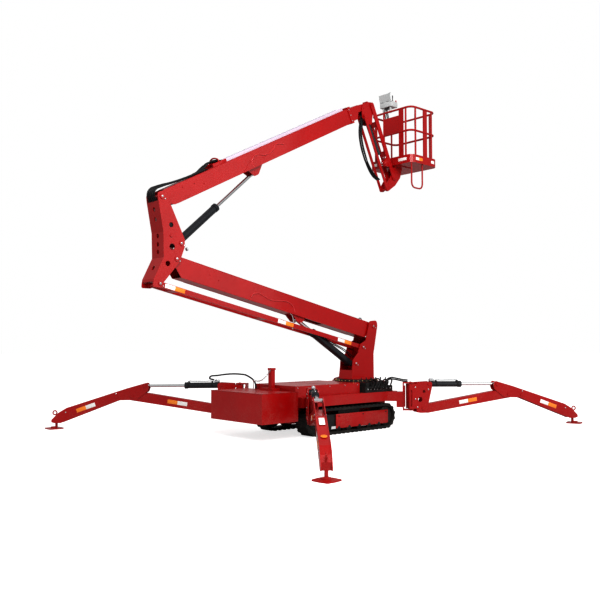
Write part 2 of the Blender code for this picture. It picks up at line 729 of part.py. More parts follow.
def leg(side, machine):
    """One outrigger leg with its bracket, two arms, cylinder and foot."""
    sx = 1 if side.startswith("front") else -1
    sy = 1 if side.endswith("far") else -1
    turn = math.radians(LEG_ANGLES[side])
    name = "leg_" + side
    swing = frame("axis_" + name + "_swing", (sx * HINGE_X, sy * HINGE_Y, 0), machine, turn)
    lift = frame("axis_" + name + "_lift", at(LEG_PIVOT), swing)
    leg_bracket(name, swing)
    leg_inner(name, lift)
    leg_outer(name, lift)
    foot(name, lift)
    inner = BRACKET_HALF - BRACKET_PLATE
    sizes = {"barrel": LEG_BARREL, "radius": LEG_BARREL_R, "rod": LEG_ROD_R, "eye": 0.036,
             "eye_half": inner - 0.0006, "pin": 0.020, "length": LEG_ROD_LENGTH,
             "rod_eye": 0.030, "rod_half": INNER_ARM_HALF}
    cylinder(name + "_cylinder", LEG_BASE_PIN, LEG_ROD_PIN, sizes, swing)


# ---------------------------------------------------------------- turret
def turret(slew):
    """Round base, two cheeks, a back plate and a front plate, with its three pins."""
    shift = (SLEW_X, 0)
    cheek = [(0.467, TURRET_LOW - 0.003), (1.035, TURRET_LOW - 0.003), (1.030, 1.265),
             (1.134, 1.760), (1.120, 1.856, 0.09), (0.935, 1.840, 0.06), (0.835, 1.500),
             (0.700, 1.440, 0.05), (0.630, 1.270), (0.505, 1.160, 0.05), (0.497, 1.050)]
    sides = side_plates(rebased(cheek, shift), CHEEK_IN, CHEEK_OUT)
    base = rod((0, 0, RING_TOP + 0.0008), (0, 0, TURRET_LOW), 0.315, 48)
    back = plate(rebased([(1.005, 0.84), (1.035, 0.84), (1.030, 1.265), (1.092, 1.56),
                          (1.068, 1.56), (1.006, 1.265)], shift), -CHEEK_IN - 0.003, CHEEK_IN + 0.003)
    front = plate(rebased([(0.470, 0.84), (0.495, 0.84), (0.510, 0.985), (0.486, 0.985)], shift),
                  -CHEEK_IN - 0.003, CHEEK_IN + 0.003)
    pins = [pin(minus(BOOM_PIVOT, shift), CHEEK_OUT),
            pin(minus(TURRET_LINK_PIN, shift), CHEEK_OUT, LINK_PIN_R),
            pin(minus(LOWER_BASE_PIN, shift), CHEEK_OUT, 0.026)]
    item = join(base, *sides, back, front, *pins)
    return name_part(item, "turret", "paint", slew)


# ---------------------------------------------------------------- lower boom
def pin_bosses(place, inner, outer, radius):
    """Washers beside a boom that close the gap to the cheeks."""
    return both_sides(lambda s: rod(at(place, s * inner), at(place, s * outer), radius, PLAIN_SIDES))


def lower_boom(boom):
    """Box boom with its pin holes, cylinder lugs and weld plates."""
    end = -LOWER_LENGTH
    outline = [(0.055, 0.050, 0.05), (0.055, -0.060, 0.05), (-0.150, LOWER_LOW, 0.04),
               (end + 0.150, LOWER_LOW, 0.02), (end - 0.055, -0.040, 0.05),
               (end - 0.050, 0.050, 0.04)]
    sides = side_plates(outline, BOOM_HALF - BOOM_WALL, BOOM_HALF)
    inside = BOOM_HALF - BOOM_WALL + 0.003
    top = box((end + 0.08, -inside, LOWER_TOP - 0.003), (-0.16, inside, LOWER_TOP + 0.004))
    bottom = box((end + 0.160, -inside, LOWER_LOW + 0.001), (-0.16, inside, LOWER_LOW + 0.009))
    near, far, half = LOWER_SLOT
    cut(bottom, box((-far, -half, LOWER_LOW - 0.1), (-near, half, LOWER_LOW + 0.1)))
    rod_pin = into(LOWER_ROD_PIN, BOOM_PIVOT, LOWER_SLOPE)
    x, z = rod_pin
    lug = [(x - 0.20, LOWER_LOW + 0.005), (x - 0.05, z - 0.045, 0.04), (x + 0.05, z - 0.045, 0.04),
           (x + 0.12, LOWER_LOW + 0.005)]
    lugs = side_plates(lug, LOWER_SLOT[2], LOWER_SLOT[2] + LUG_PLATE)
    edge = LOWER_LOW - 0.002
    doubler = [(x - 0.42, edge), (x - 0.30, -0.150, 0.03), (x - 0.20, -0.120, 0.05),
               (x - 0.05, -0.150, 0.05), (x + 0.12, -0.130, 0.05), (x + 0.30, edge)]
    doublers = side_plates(doubler, BOOM_HALF - 0.001, BOOM_HALF + 0.007)
    caps = both_sides(lambda s: rod(at(rod_pin, s * (LOWER_SLOT[2] + 0.002)),
                                    at(rod_pin, s * (LOWER_SLOT[2] + LUG_CAP)), 0.030, 8))
    bosses = pin_bosses((0, 0), BOOM_HALF - 0.002, CHEEK_IN - 0.0006, 0.045)
    bosses += pin_bosses((end, 0), BOOM_HALF - 0.002, CHEEK_IN - 0.0006, 0.045)
    item = join(*sides, top, bottom, *lugs, *doublers, *caps, *bosses)
    cut(item, cross_rod((0, 0), 0.3, PIN_R + RUN), cross_rod((end, 0), 0.3, PIN_R + RUN))
    return name_part(item, "lower_boom", "paint", boom)


def level_links(links):
    """Two link bars that keep the elbow upright, joined by a cross plate."""
    length = LOWER_LENGTH
    depth = LINK_HALF_DEPTH
    outline = [(0.04, depth, depth), (0.04, -depth, depth), (-length - 0.04, -depth, depth),
               (-length - 0.04, depth, depth)]
    holes = [(0, 0, LINK_PIN_R + RUN), (-length, 0, LINK_PIN_R + RUN)]
    sides = side_plates(outline, LINK_INNER, LINK_OUTER, holes, SIDES)
    ties = [box((x - 0.06, -LINK_INNER - 0.004, -depth + 0.004),
                (x + 0.06, LINK_INNER + 0.004, -depth + 0.014)) for x in (-2.235, -length + 0.30)]
    return name_part(join(*sides, *ties), "level_links", "paint", links)


# ---------------------------------------------------------------- elbow
def elbow(origin):
    """Two side plates and a holed end plate, with the four pins of the elbow."""
    link_pin = LINK_OFFSET
    left = [(-0.313, 0.800), (-0.229, 0.368), (-0.218, 0.008), (-0.374, -0.304), (-0.385, -0.375)]
    outline = [*left, (-0.385, -0.420, 0.03), (-0.215, -0.420, 0.05), (-0.215, -0.345, 0.03),
               (0.045, -0.045), (0.128, 0.176), (0.128, 0.290, 0.03), (-0.129, 0.798),
               (-0.185, 0.940, 0.06), (-0.330, 0.930, 0.05)]
    holes = [(-0.100, 0.476, 0.036), (-0.080, 0.165, 0.046), (-0.150, -0.076, 0.040)]
    sides = side_plates(outline, CHEEK_IN, CHEEK_OUT, holes)
    thick = 0.012
    back = [*left[:4], (-0.380, -0.340)]
    front = [(x + thick, z) for x, z in reversed(back)]
    end_plate = plate(back + front, -CHEEK_IN - 0.003, CHEEK_IN + 0.003)
    cutters = []
    for x, z in ((-0.290, 0.69), (-0.262, 0.55), (-0.228, 0.32), (-0.225, 0.20), (-0.222, 0.09),
                 (-0.292, -0.14)):
        cutters.append(rod((x - 0.1, 0, z), (x + 0.1, 0, z), 0.034, PLAIN_SIDES))
    cut(end_plate, *cutters)
    pins = [pin((0, 0), CHEEK_OUT), pin(ELBOW_TOP_PIN, CHEEK_OUT), pin(ELBOW_BASE_PIN, CHEEK_OUT, 0.026),
            pin(link_pin, CHEEK_OUT, LINK_PIN_R), pin((-0.100, 0.323), CHEEK_OUT, 0.016)]
    return name_part(join(*sides, end_plate, *pins), "elbow", "paint", origin)


# ---------------------------------------------------------------- upper boom
def upper_boom(boom):
    outline = [(-0.055, 0.055, 0.05), (-0.055, -0.055, 0.05), (0.170, UPPER_LOW, 0.03),
               (UPPER_LENGTH, UPPER_LOW), (UPPER_LENGTH, UPPER_TOP), (0.10, UPPER_TOP)]
    sides = side_plates(outline, BOOM_HALF - BOOM_WALL, BOOM_HALF)
    inside = BOOM_HALF - BOOM_WALL + 0.003
    top = box((0.14, -inside, UPPER_TOP - BOOM_WALL), (UPPER_LENGTH, inside, UPPER_TOP - 0.0005))
    bottom = box((0.20, -inside, UPPER_LOW + 0.0005), (UPPER_LENGTH, inside, UPPER_LOW + BOOM_WALL))
    near, far, half = UPPER_SLOT
    cut(bottom, box((near, -half, UPPER_LOW - 0.1), (far, half, UPPER_LOW + BOOM_WALL + 0.001)))
    collar_out = box((UPPER_LENGTH - 0.055, -BOOM_HALF - 0.012, UPPER_LOW - 0.016),
                     (UPPER_LENGTH + 0.012, BOOM_HALF + 0.012, UPPER_TOP + 0.022))
    lip = BOOM_WALL - 0.001
    collar_in = box((UPPER_LENGTH - 0.1, -BOOM_HALF + lip, UPPER_LOW + lip),
                    (UPPER_LENGTH + 0.1, BOOM_HALF - lip, UPPER_TOP - lip))
    collar = cut(collar_out, collar_in)
    rod_pin = into(UPPER_ROD_PIN, UPPER_PIVOT, -UPPER_SLOPE)
    x, z = rod_pin
    lug = [(x - 0.14, UPPER_LOW + 0.005), (x - 0.045, z - 0.045, 0.04), (x + 0.045, z - 0.045, 0.04),
           (x + 0.20, UPPER_LOW + 0.005)]
    lugs = side_plates(lug, UPPER_SLOT[2], UPPER_SLOT[2] + LUG_PLATE)
    edge = UPPER_LOW - 0.002
    doubler = [(x - 0.26, edge), (x - 0.12, -0.090, 0.05), (x + 0.02, -0.060, 0.06),
               (x + 0.20, -0.095, 0.05), (x + 0.42, -0.070, 0.05), (x + 0.62, edge)]
    doublers = side_plates(doubler, BOOM_HALF - 0.001, BOOM_HALF + 0.007)
    caps = both_sides(lambda s: rod(at(rod_pin, s * (UPPER_SLOT[2] + 0.002)),
                                    at(rod_pin, s * (UPPER_SLOT[2] + LUG_CAP)), 0.028, 8))
    bosses = pin_bosses((0, 0), BOOM_HALF - 0.002, CHEEK_IN - 0.0006, 0.045)
    item = join(*sides, top, bottom, collar, *lugs, *doublers, *caps, *bosses)
    cut(item, cross_rod((0, 0), 0.3, PIN_R + RUN))
    return name_part(item, "upper_boom", "paint", boom)


def hose_tray(boom):
    """Open channel on the boom's top face that the hose chain lies in."""
    low = UPPER_TOP + SEAT
    outer = box((1.30, -0.075, low), (UPPER_LENGTH - 0.12, 0.075, low + 0.050))
    inner = box((1.20, -0.069, low + 0.006), (UPPER_LENGTH, 0.069, low + 0.1))
    return name_part(cut(outer, inner), "hose_tray", "grey", boom)


def inner_boom(boom):
    """Telescopic section: a box tube inside the upper boom, with a nose lug."""
    gap = BOOM_WALL + SLIDE_GAP
    half = BOOM_HALF - gap
    low, high = UPPER_LOW + gap, UPPER_TOP - gap
    outer = plate([(INNER_TAIL, low), (INNER_NOSE - 0.11, low), (INNER_NOSE, low + 0.14),
                   (INNER_NOSE, high), (INNER_TAIL, high)], -half, half)
    low_in, high_in, nose_in = low + 0.006, high - 0.006, INNER_NOSE - 0.014
    core = plate([(INNER_TAIL - 0.1, low_in), (nose_in - 0.11, low_in), (nose_in, low_in + 0.14),
                  (nose_in, high_in), (INNER_TAIL - 0.1, high_in)], -half + 0.006, half - 0.006)
    shell = cut(outer, core)
    pads_gap = SLIDE_GAP - 0.0005
    pads = []
    for x in (INNER_TAIL + 0.01, UPPER_LENGTH - 0.16):
        pads.append(box((x, -half + 0.03, high - 0.001), (x + 0.12, half - 0.03, high + pads_gap)))
        pads.append(box((x, -half + 0.03, low - pads_gap), (x + 0.12, half - 0.03, low + 0.001)))
    nose_x, nose_z = HEAD_PIN
    lug = [(INNER_NOSE - 0.005, high - 0.01), (INNER_NOSE - 0.030, nose_z - 0.055),
           (nose_x - 0.02, nose_z - 0.05, 0.03), (nose_x + 0.05, nose_z - 0.05, 0.045),
           (nose_x + 0.05, nose_z + 0.05, 0.045), (nose_x - 0.02, nose_z + 0.055, 0.02)]
    nose = plate(lug, -HEAD_CHEEK_IN + 0.0006, HEAD_CHEEK_IN - 0.0006)
    item = join(shell, *pads, nose)
    cut(item, cross_rod(HEAD_PIN, 0.2, 0.024 + RUN))
    return name_part(item, "inner_boom", "paint", boom)


# ---------------------------------------------------------------- boom head and jib
def boom_head(origin):
    """Level head on the boom's nose, carrying both jib arms and the jib cylinder."""
    outline = [(0.865, 5.765, 0.045), (0.850, 5.680, 0.04), (0.868, 5.510, 0.035), (0.925, 5.480, 0.03),
               (1.030, 5.420, 0.04), (1.118, 5.430, 0.045), (1.130, 5.560), (1.165, 5.740, 0.05),
               (1.150, 5.845, 0.05), (1.040, 5.830)]
    holes = [(*JIB_FRONT_PIN, JIB_PIN_R + RUN), (*JIB_REAR_PIN, JIB_PIN_R + RUN)]
    moved = rebased(outline, HEAD_DRAWN)
    moved_holes = [(h[0] - HEAD_DRAWN[0], h[1] - HEAD_DRAWN[1], h[2]) for h in holes]
    sides = side_plates(moved, HEAD_CHEEK_IN, HEAD_CHEEK_OUT, moved_holes, SIDES)
    block = [(1.000, 5.840), (1.000, 5.770), (1.060, 5.700), (1.070, 5.600), (1.120, 5.600),
             (1.140, 5.720), (1.066, 5.736), (1.060, 5.832)]
    web = plate(rebased(block, HEAD_DRAWN), -HEAD_CHEEK_IN - 0.004, HEAD_CHEEK_IN + 0.004)
    pins = [pin((0, 0), HEAD_CHEEK_OUT, 0.024, 0.003),
            pin(minus(JIB_BASE_PIN, HEAD_DRAWN), HEAD_CHEEK_OUT, 0.018, 0.003)]
    return name_part(join(*sides, web, *pins), "boom_head", "paint", origin)


def jib_arm_front(origin):
    """Front arm: two bars joined by both its pins and two cross plates."""
    end = JIB_ARM
    length = span((0, 0), end)
    bar = [(-0.05, 0.045, 0.045), (-0.05, -0.045, 0.045), (length + 0.05, -0.045, 0.045),
           (length + 0.05, 0.045, 0.045)]
    sides = side_plates(bar, ARM_IN, ARM_OUT)
    tilt = tilt_towards((0, 0), end)
    rod_pin = into(minus(JIB_ROD_PIN, JIB_FRONT_PIN), (0, 0), tilt)
    x, z = rod_pin
    lug = [(x - 0.09, -0.030), (x - 0.035, z - 0.026, 0.02), (x + 0.035, z - 0.026, 0.02),
           (x + 0.09, -0.030)]
    lugs = side_plates(lug, 0.0505, ARM_OUT - 0.004)
    caps = both_sides(lambda s: rod(at(rod_pin, s * 0.060), at(rod_pin, s * 0.092), 0.024, 8))
    ties = [box((s, -ARM_IN - 0.004, -0.018), (s + 0.10, ARM_IN + 0.004, -0.006))
            for s in (0.30, 0.86)]
    pins = [pin((0, 0), ARM_OUT, JIB_PIN_R, 0.008), pin((length, 0), ARM_OUT, JIB_PIN_R, 0.008)]
    return name_part(join(*sides, *lugs, *caps, *ties, *pins), "jib_arm_front", "paint", origin)


def jib_arm_rear(origin):
    """Rear arm: two bars joined by both its pins."""
    length = span((0, 0), JIB_ARM)
    half = REAR_ARM_HALF
    bar = [(-0.034, half, half), (-0.034, -half, half), (length + 0.034, -half, half),
           (length + 0.034, half, half)]
    sides = side_plates(bar, ARM_IN, ARM_OUT)
    pins = [pin((0, 0), ARM_OUT, JIB_PIN_R, 0.006), pin((length, 0), ARM_OUT, JIB_PIN_R, 0.006)]
    return name_part(join(*sides, *pins), "jib_arm_rear", "paint", origin)


def cage_mount(origin):
    """Bracket under the cage that both jib arms are pinned to."""
    outline = [(1.660, 4.590, 0.04), (1.475, 4.330, 0.035), (1.495, 4.255, 0.04), (1.560, 4.265, 0.04),
               (1.760, 4.400, 0.05), (1.900, 4.560, 0.05), (1.960, CAGE_FLOOR - 0.012),
               (1.730, CAGE_FLOOR - 0.012)]
    hole_radius = JIB_PIN_R + RUN
    places = [minus(MOUNT_FRONT_PIN, MOUNT_FRONT_PIN), minus(MOUNT_REAR_PIN, MOUNT_FRONT_PIN)]
    holes = [(*place, hole_radius) for place in places]
    sides = side_plates(rebased(outline, MOUNT_FRONT_PIN), HEAD_CHEEK_IN, HEAD_CHEEK_OUT, holes, SIDES)
    ox, oz = MOUNT_FRONT_PIN
    top = box((CAGE_BACK + 0.03 - ox, -0.16, CAGE_FLOOR - 0.014 - oz),
              (CAGE_BACK + 0.42 - ox, 0.16, CAGE_FLOOR - SEAT - oz))
    web = plate(rebased([(1.790, 4.50), (1.805, 4.49), (1.895, 4.60), (1.935, CAGE_FLOOR - 0.012),
                         (1.915, CAGE_FLOOR - 0.012), (1.880, 4.61)], MOUNT_FRONT_PIN),
                -HEAD_CHEEK_IN - 0.004, HEAD_CHEEK_IN + 0.004)
    return name_part(join(*sides, top, web), "cage_mount", "paint", origin)


def loop_points(height, inset, radius, steps=4):
    """Centre line of a rail that runs round the cage."""
    x0, x1 = CAGE_BACK + inset, CAGE_FRONT - inset
    y0, y1 = -CAGE_HALF + inset, CAGE_HALF - inset
    outline = [(x0, y0, radius), (x1, y0, radius), (x1, y1, radius), (x0, y1, radius)]
    return [(p.x, p.y, height) for p in rounded(outline, steps)]


def from_mount(item):
    """Shift a shape so that the mount's front pin is at its zero."""
    item.data.transform(Matrix.Translation((-MOUNT_FRONT_PIN[0], 0, -MOUNT_FRONT_PIN[1])))
    return item


def cage_frame(mount):
    """Guard rails and posts, one welded frame standing on the floor tray."""
    inset = 0.030
    top = CAGE_FLOOR + CAGE_HEIGHT - RAIL_R
    middle = CAGE_FLOOR + MID_RAIL
    low = CAGE_FLOOR + 0.012 + SEAT
    rails = [tube(loop_points(z, inset, 0.11), RAIL_R, cyclic=True) for z in (top, middle)]
    x0, x1 = CAGE_BACK + inset, CAGE_FRONT - inset
    y1 = CAGE_HALF - inset
    places = [(x0 + 0.12, -y1), (x1 - 0.12, -y1), (x0 + 0.12, y1), (x1 - 0.12, y1),
              (x0, -y1 + 0.13), (x0, y1 - 0.13), (x0, 0.17), (x1, -y1 + 0.13), (x1, y1 - 0.13)]
    posts = [rod((x, y, low), (x, y, top), RAIL_R * 0.86, 8) for x, y in places]
    wide = [box((x1 - 0.36, -y1 - 0.010, low), (x1 - 0.26, -y1 + 0.010, top)),
            box((x0 - 0.010, -0.30, low), (x0 + 0.010, -0.20, top))]
    item = from_mount(join(*rails, *posts, *wide))
    return name_part(item, "cage_frame", "paint", mount)


def cage_floor(mount):
    """Floor tray with its toe boards."""
    x0, x1, y1 = CAGE_BACK, CAGE_FRONT, CAGE_HALF
    low = CAGE_FLOOR
    outline = [(x0, -y1, 0.11), (x1, -y1, 0.11), (x1, y1, 0.11), (x0, y1, 0.11)]
    wall = 0.006
    inner = [(x0 + wall, -y1 + wall, 0.105), (x1 - wall, -y1 + wall, 0.105),
             (x1 - wall, y1 - wall, 0.105), (x0 + wall, y1 - wall, 0.105)]
    tray = plate(outline, low, low + TOE_BOARD, flat=True)
    cut(tray, plate(inner, low + 0.012, low + TOE_BOARD + 0.1, flat=True))
    return name_part(from_mount(tray), "cage_floor", "paint", mount)


def cage_panel(mount):
    """Sheet panel on the cage's boom side, held between the middle rail and a post."""
    x = CAGE_BACK + 0.030
    low = CAGE_FLOOR + MID_RAIL + RAIL_R + 0.0006
    item = box((x - 0.004, -0.20 + 0.0006, low), (x + 0.004, 0.17 - RAIL_R * 0.86 - 0.0006, low + 0.30))
    return name_part(from_mount(item), "cage_panel", "paint", mount)


def step_hoop(mount):
    """U-shaped entry step under the cage floor."""
    y = -CAGE_HALF + 0.045
    low = CAGE_FLOOR - 0.46
    top = CAGE_FLOOR - SEAT
    x0, x1 = CAGE_BACK + 0.05, CAGE_BACK + 0.36
    side = [(x0, top), (x0, low), (x1, low), (x1, top)]
    path = [side[0]]
    path += corner_arc(side[0], side[1], side[2], 0.09)
    path += corner_arc(side[1], side[2], side[3], 0.09)
    path.append(side[3])
    item = tube([(p[0], y, p[1]) for p in path], 0.014)
    return name_part(from_mount(item), "step_hoop", "dark", mount)


def control_box(mount):
    """Operator's control box on the top rail, with its open lid."""
    x = CAGE_BACK + 0.030
    top = CAGE_FLOOR + CAGE_HEIGHT + 0.0006
    body = box((x - 0.02, -0.16, top), (x + 0.20, 0.26, top + 0.11))
    lid = plate([(x - 0.012, top + 0.10), (x - 0.002, top + 0.10), (x - 0.060, top + 0.33),
                 (x - 0.070, top + 0.33)], -0.16, 0.26)
    return name_part(from_mount(join(body, lid)), "control_box", "grey", mount)


# ---------------------------------------------------------------- whole machine
def build_booms(machine):
    slew = frame("axis_slew", (SLEW_X, 0, 0), machine)
    turret(slew)
    lower_boom(frame("axis_lower_boom", at(BOOM_PIVOT), machine, tilt=LOWER_SLOPE))
    level_links(frame("axis_level_links", at(TURRET_LINK_PIN), machine, tilt=LOWER_SLOPE))
    sizes = {"barrel": LOWER_BARREL, "radius": LOWER_BARREL_R, "rod": LOWER_ROD_R, "eye": 0.050,
             "eye_half": 0.090, "pin": 0.026, "length": LOWER_ROD_LENGTH, "rod_eye": 0.036,
             "rod_half": LOWER_SLOT[2] - 0.006}
    cylinder("lower_cylinder", LOWER_BASE_PIN, LOWER_ROD_PIN, sizes, machine)
    elbow(frame("axis_elbow", at(ELBOW_PIN), machine))
    upper = frame("axis_upper_boom", at(UPPER_PIVOT), machine, tilt=-UPPER_SLOPE)
    upper_boom(upper)
    hose_tray(upper)
    inner_boom(upper)
    sizes = {"barrel": UPPER_BARREL, "radius": UPPER_BARREL_R, "rod": UPPER_ROD_R, "eye": 0.046,
             "eye_half": 0.090, "pin": 0.026, "length": UPPER_ROD_LENGTH, "rod_eye": 0.029,
             "rod_half": UPPER_SLOT[2] - 0.006}
    cylinder("upper_cylinder", UPPER_BASE_PIN, UPPER_ROD_PIN, sizes, machine)


def build_jib(machine):
    """The jib and the cage are drawn around the head's pin and hung where it really is."""
    def hung(place):
        return add(place, JIB_SHIFT)

    boom_head(frame("axis_boom_head", at(HEAD_PIVOT), machine))
    tilt = tilt_towards((0, 0), JIB_ARM)
    jib_arm_front(frame("axis_jib", at(hung(JIB_FRONT_PIN)), machine, tilt=tilt))
    jib_arm_rear(frame("axis_jib_rear", at(hung(JIB_REAR_PIN)), machine, tilt=tilt))
    sizes = {"barrel": JIB_BARREL, "radius": JIB_BARREL_R, "rod": JIB_ROD_R, "eye": 0.034,
             "eye_half": HEAD_CHEEK_IN - 0.0006, "pin": 0.018, "length": JIB_ROD_LENGTH,
             "rod_eye": 0.0295, "rod_half": HEAD_CHEEK_IN - 0.004}
    cylinder("jib_cylinder", hung(JIB_BASE_PIN), hung(JIB_ROD_PIN), sizes, machine)
    mount = frame("axis_cage", at(hung(MOUNT_FRONT_PIN)), machine)
    for make in (cage_mount, cage_floor, cage_frame, cage_panel, step_hoop, control_box):
        make(mount)


def build_chassis(machine):
    for make in (chassis_frame, deck_cover, power_cover, engine_block, boom_rest, valve_block,
                 slew_ring):
        make(machine)
    for side, sign in (("near", -1), ("far", 1)):
        track_belt(side, sign, machine)
        track_frame(side, sign, machine)


def centre_on_ground(machine):
    """Move the machine so that its box is centred on the origin and stands on Z = 0."""
    bpy.context.view_layer.update()
    corners = [item.matrix_world @ vertex.co for item in bpy.data.objects if item.type == "MESH"
               for vertex in item.data.vertices]
    low = [min(c[i] for c in corners) for i in range(3)]
    high = [max(c[i] for c in corners) for i in range(3)]
    machine.location = (-(low[0] + high[0]) / 2, -(low[1] + high[1]) / 2, -low[2])


def main():
    clear_scene()
    collection = bpy.data.collections.new("boom_lift")
    bpy.context.scene.collection.children.link(collection)
    machine = frame("machine", (0, 0, 0))
    build_chassis(machine)
    for side in LEG_ANGLES:
        leg(side, machine)
    build_booms(machine)
    build_jib(machine)
    centre_on_ground(machine)


main()
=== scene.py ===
# %% [markdown]
# # A tracked boom lift, from a fixed frame to a finished machine
# The frame brings every rigid part of the machine in its real size. This notebook gives each
# part its finish and adds the pieces that make the machine look used and real: hoses, bolts,
# reflective tape, wear pads, levers and the track's running gear.

# %% Load the frame
import json
import math

import bmesh
import bpy
from mathutils import Matrix, Vector


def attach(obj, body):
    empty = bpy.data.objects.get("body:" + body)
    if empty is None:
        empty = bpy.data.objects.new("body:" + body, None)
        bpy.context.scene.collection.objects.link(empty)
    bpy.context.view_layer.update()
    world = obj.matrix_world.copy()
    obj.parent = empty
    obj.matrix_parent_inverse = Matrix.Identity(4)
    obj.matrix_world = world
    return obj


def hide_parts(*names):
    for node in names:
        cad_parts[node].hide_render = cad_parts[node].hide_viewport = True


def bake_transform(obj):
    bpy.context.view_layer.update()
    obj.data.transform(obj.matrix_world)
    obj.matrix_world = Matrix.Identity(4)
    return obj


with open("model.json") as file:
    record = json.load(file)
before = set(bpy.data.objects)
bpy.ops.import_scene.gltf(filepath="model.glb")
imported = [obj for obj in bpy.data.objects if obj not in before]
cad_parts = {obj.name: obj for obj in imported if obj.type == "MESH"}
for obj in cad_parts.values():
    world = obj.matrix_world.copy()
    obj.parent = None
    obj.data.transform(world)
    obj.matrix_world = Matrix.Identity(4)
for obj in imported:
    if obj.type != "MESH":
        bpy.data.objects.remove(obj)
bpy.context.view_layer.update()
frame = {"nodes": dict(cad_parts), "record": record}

# %% [markdown]
# ## Places on the machine
# Each arm has its own straight axes, so a bolt or a strip of tape is easiest to place along
# the arm. A matrix made of the arm's direction, its side and its upward direction turns such
# a place into a place in the world. The pins come from the frame's own joints.

# %% Seats: matrices that follow each arm
pins = {joint["name"]: joint.get("pos_m") for joint in frame["record"]["behaviour"]["joints"]}
LOWER_SLOPE = math.radians(12.48)
UPPER_SLOPE = math.radians(27.4)
LEG_ANGLES = {"front_near": -28.3, "front_far": 28.3, "rear_near": -130.4, "rear_far": 134.5}
SLEW_FROM_MIDDLE = 0.75
middle_x = pins["slew"][0] - SLEW_FROM_MIDDLE
middle_y = pins["slew"][1]


def seat(origin, along, up):
    """A matrix whose X is along an arm and whose Z is its upward direction."""
    along, up = Vector(along).normalized(), Vector(up).normalized()
    side = up.cross(along)
    turn = Matrix((along, side, up)).transposed().to_4x4()
    return Matrix.Translation(origin) @ turn


def sloped(origin, slope):
    """A seat on an arm that climbs by slope towards +X."""
    return seat(origin, (math.cos(slope), 0, math.sin(slope)), (-math.sin(slope), 0, math.cos(slope)))


CHASSIS = Matrix.Translation((middle_x, middle_y, 0))
LOWER = sloped(pins["elbow"], -LOWER_SLOPE)
LINKS = sloped(Vector(pins["elbow"]) + Vector((-0.27, 0, -0.367)), -LOWER_SLOPE)
ELBOW = Matrix.Translation(pins["elbow"])
UPPER = sloped(pins["upper_boom"], UPPER_SLOPE)
LEGS = {}
for leg, degrees in LEG_ANGLES.items():
    hinge = pins["leg_" + leg + "_swing"]
    turn = math.radians(degrees)
    LEGS[leg] = seat((hinge[0], hinge[1], 0), (math.cos(turn), math.sin(turn), 0), (0, 0, 1))
print("seats:", ["chassis", "lower", "links", "elbow", "upper", "jib", *LEGS])

# %% [markdown]
# ## Camera
# The machine is seen from a person's eye height, a little to its rear. The lens is a plain
# 45 mm, and the camera is tipped up slightly, because the booms stand far above the eye.

# %% Camera
EYE = (-8.956, -9.175, 1.55)
HEADING = 0.832
PITCH = math.radians(2.86)
camera = bpy.data.objects.new("camera", bpy.data.cameras.new("camera"))
camera.data.lens = 45
camera.data.sensor_width = 36
camera.location = CHASSIS @ Vector(EYE)
camera.rotation_euler = (math.pi / 2 + PITCH, 0, HEADING - math.pi / 2)
bpy.context.scene.collection.objects.link(camera)
bpy.context.scene.camera = camera

# %% [markdown]
# ## Studio
# A pale floor and a bright, even sky stand for a white studio. One broad lamp on the camera's
# left gives the paint its long soft highlights, and a weaker one lifts the shaded side.

# %% Floor, sky and lamps
CONTRAST = 0.72          # darkens the middle tones, for a hard studio look
SKY_LIGHT = 0.60         # what the machine and the floor get
SKY_SEEN = 1.0           # what the camera sees past the floor
FLOOR_GLOW = 0.75        # what the camera sees on top of the lit floor
bpy.context.scene.view_settings.view_transform = "Standard"
bpy.context.scene.view_settings.gamma = CONTRAST


def plain_finish(name, colour, roughness):
    finish = bpy.data.materials.new(name)
    finish.use_nodes = True
    shader = finish.node_tree.nodes["Principled BSDF"]
    shader.inputs["Base Color"].default_value = (*colour, 1)
    shader.inputs["Roughness"].default_value = roughness
    return finish


bpy.ops.object.select_all(action="DESELECT")
bpy.ops.mesh.primitive_plane_add(size=120, location=(0, 0, -0.001))
floor = bpy.context.object
floor.name = "studio_floor"
pale = plain_finish("pale floor", (0.62, 0.62, 0.62), 0.8)
floor_shader = pale.node_tree.nodes["Principled BSDF"]
floor_shader.inputs["Emission Color"].default_value = (1, 1, 1, 1)
floor_sight = pale.node_tree.nodes.new("ShaderNodeLightPath")
floor_glow = pale.node_tree.nodes.new("ShaderNodeMath")
floor_glow.operation = "MULTIPLY"
floor_glow.inputs[1].default_value = FLOOR_GLOW
pale.node_tree.links.new(floor_sight.outputs["Is Camera Ray"], floor_glow.inputs[0])
pale.node_tree.links.new(floor_glow.outputs[0], floor_shader.inputs["Emission Strength"])
floor.data.materials.append(pale)

sky = bpy.data.worlds.new("studio sky")
sky.use_nodes = True
backdrop = sky.node_tree.nodes["Background"]
backdrop.inputs["Color"].default_value = (1.0, 1.0, 1.0, 1)
seen = sky.node_tree.nodes.new("ShaderNodeLightPath")
level = sky.node_tree.nodes.new("ShaderNodeMapRange")
level.inputs["To Min"].default_value = SKY_LIGHT
level.inputs["To Max"].default_value = SKY_SEEN
sky.node_tree.links.new(seen.outputs["Is Camera Ray"], level.inputs["Value"])
sky.node_tree.links.new(level.outputs["Result"], backdrop.inputs["Strength"])
bpy.context.scene.world = sky


def lamp(name, place, target, size, watts):
    light = bpy.data.objects.new(name, bpy.data.lights.new(name, "AREA"))
    light.data.size = size
    light.data.energy = watts
    light.location = place
    light.rotation_euler = (Vector(target) - Vector(place)).to_track_quat("-Z", "Y").to_euler()
    bpy.context.scene.collection.objects.link(light)


lamp("key", (-7, -9, 10), (0, 0, 2.0), 7, 1700)
lamp("fill", (5, -13, 6), (0, 0, 2), 8, 420)
print("studio ready")

# %% [markdown]
# ## Shared surface effects
# Every finish on a machine like this has the same few faults: the colour drifts a little, a
# fine orange peel or grain breaks the highlight, and dust settles low down. Each effect is a
# node group with named inputs, so a material only chooses its amounts.

# %% Node helpers


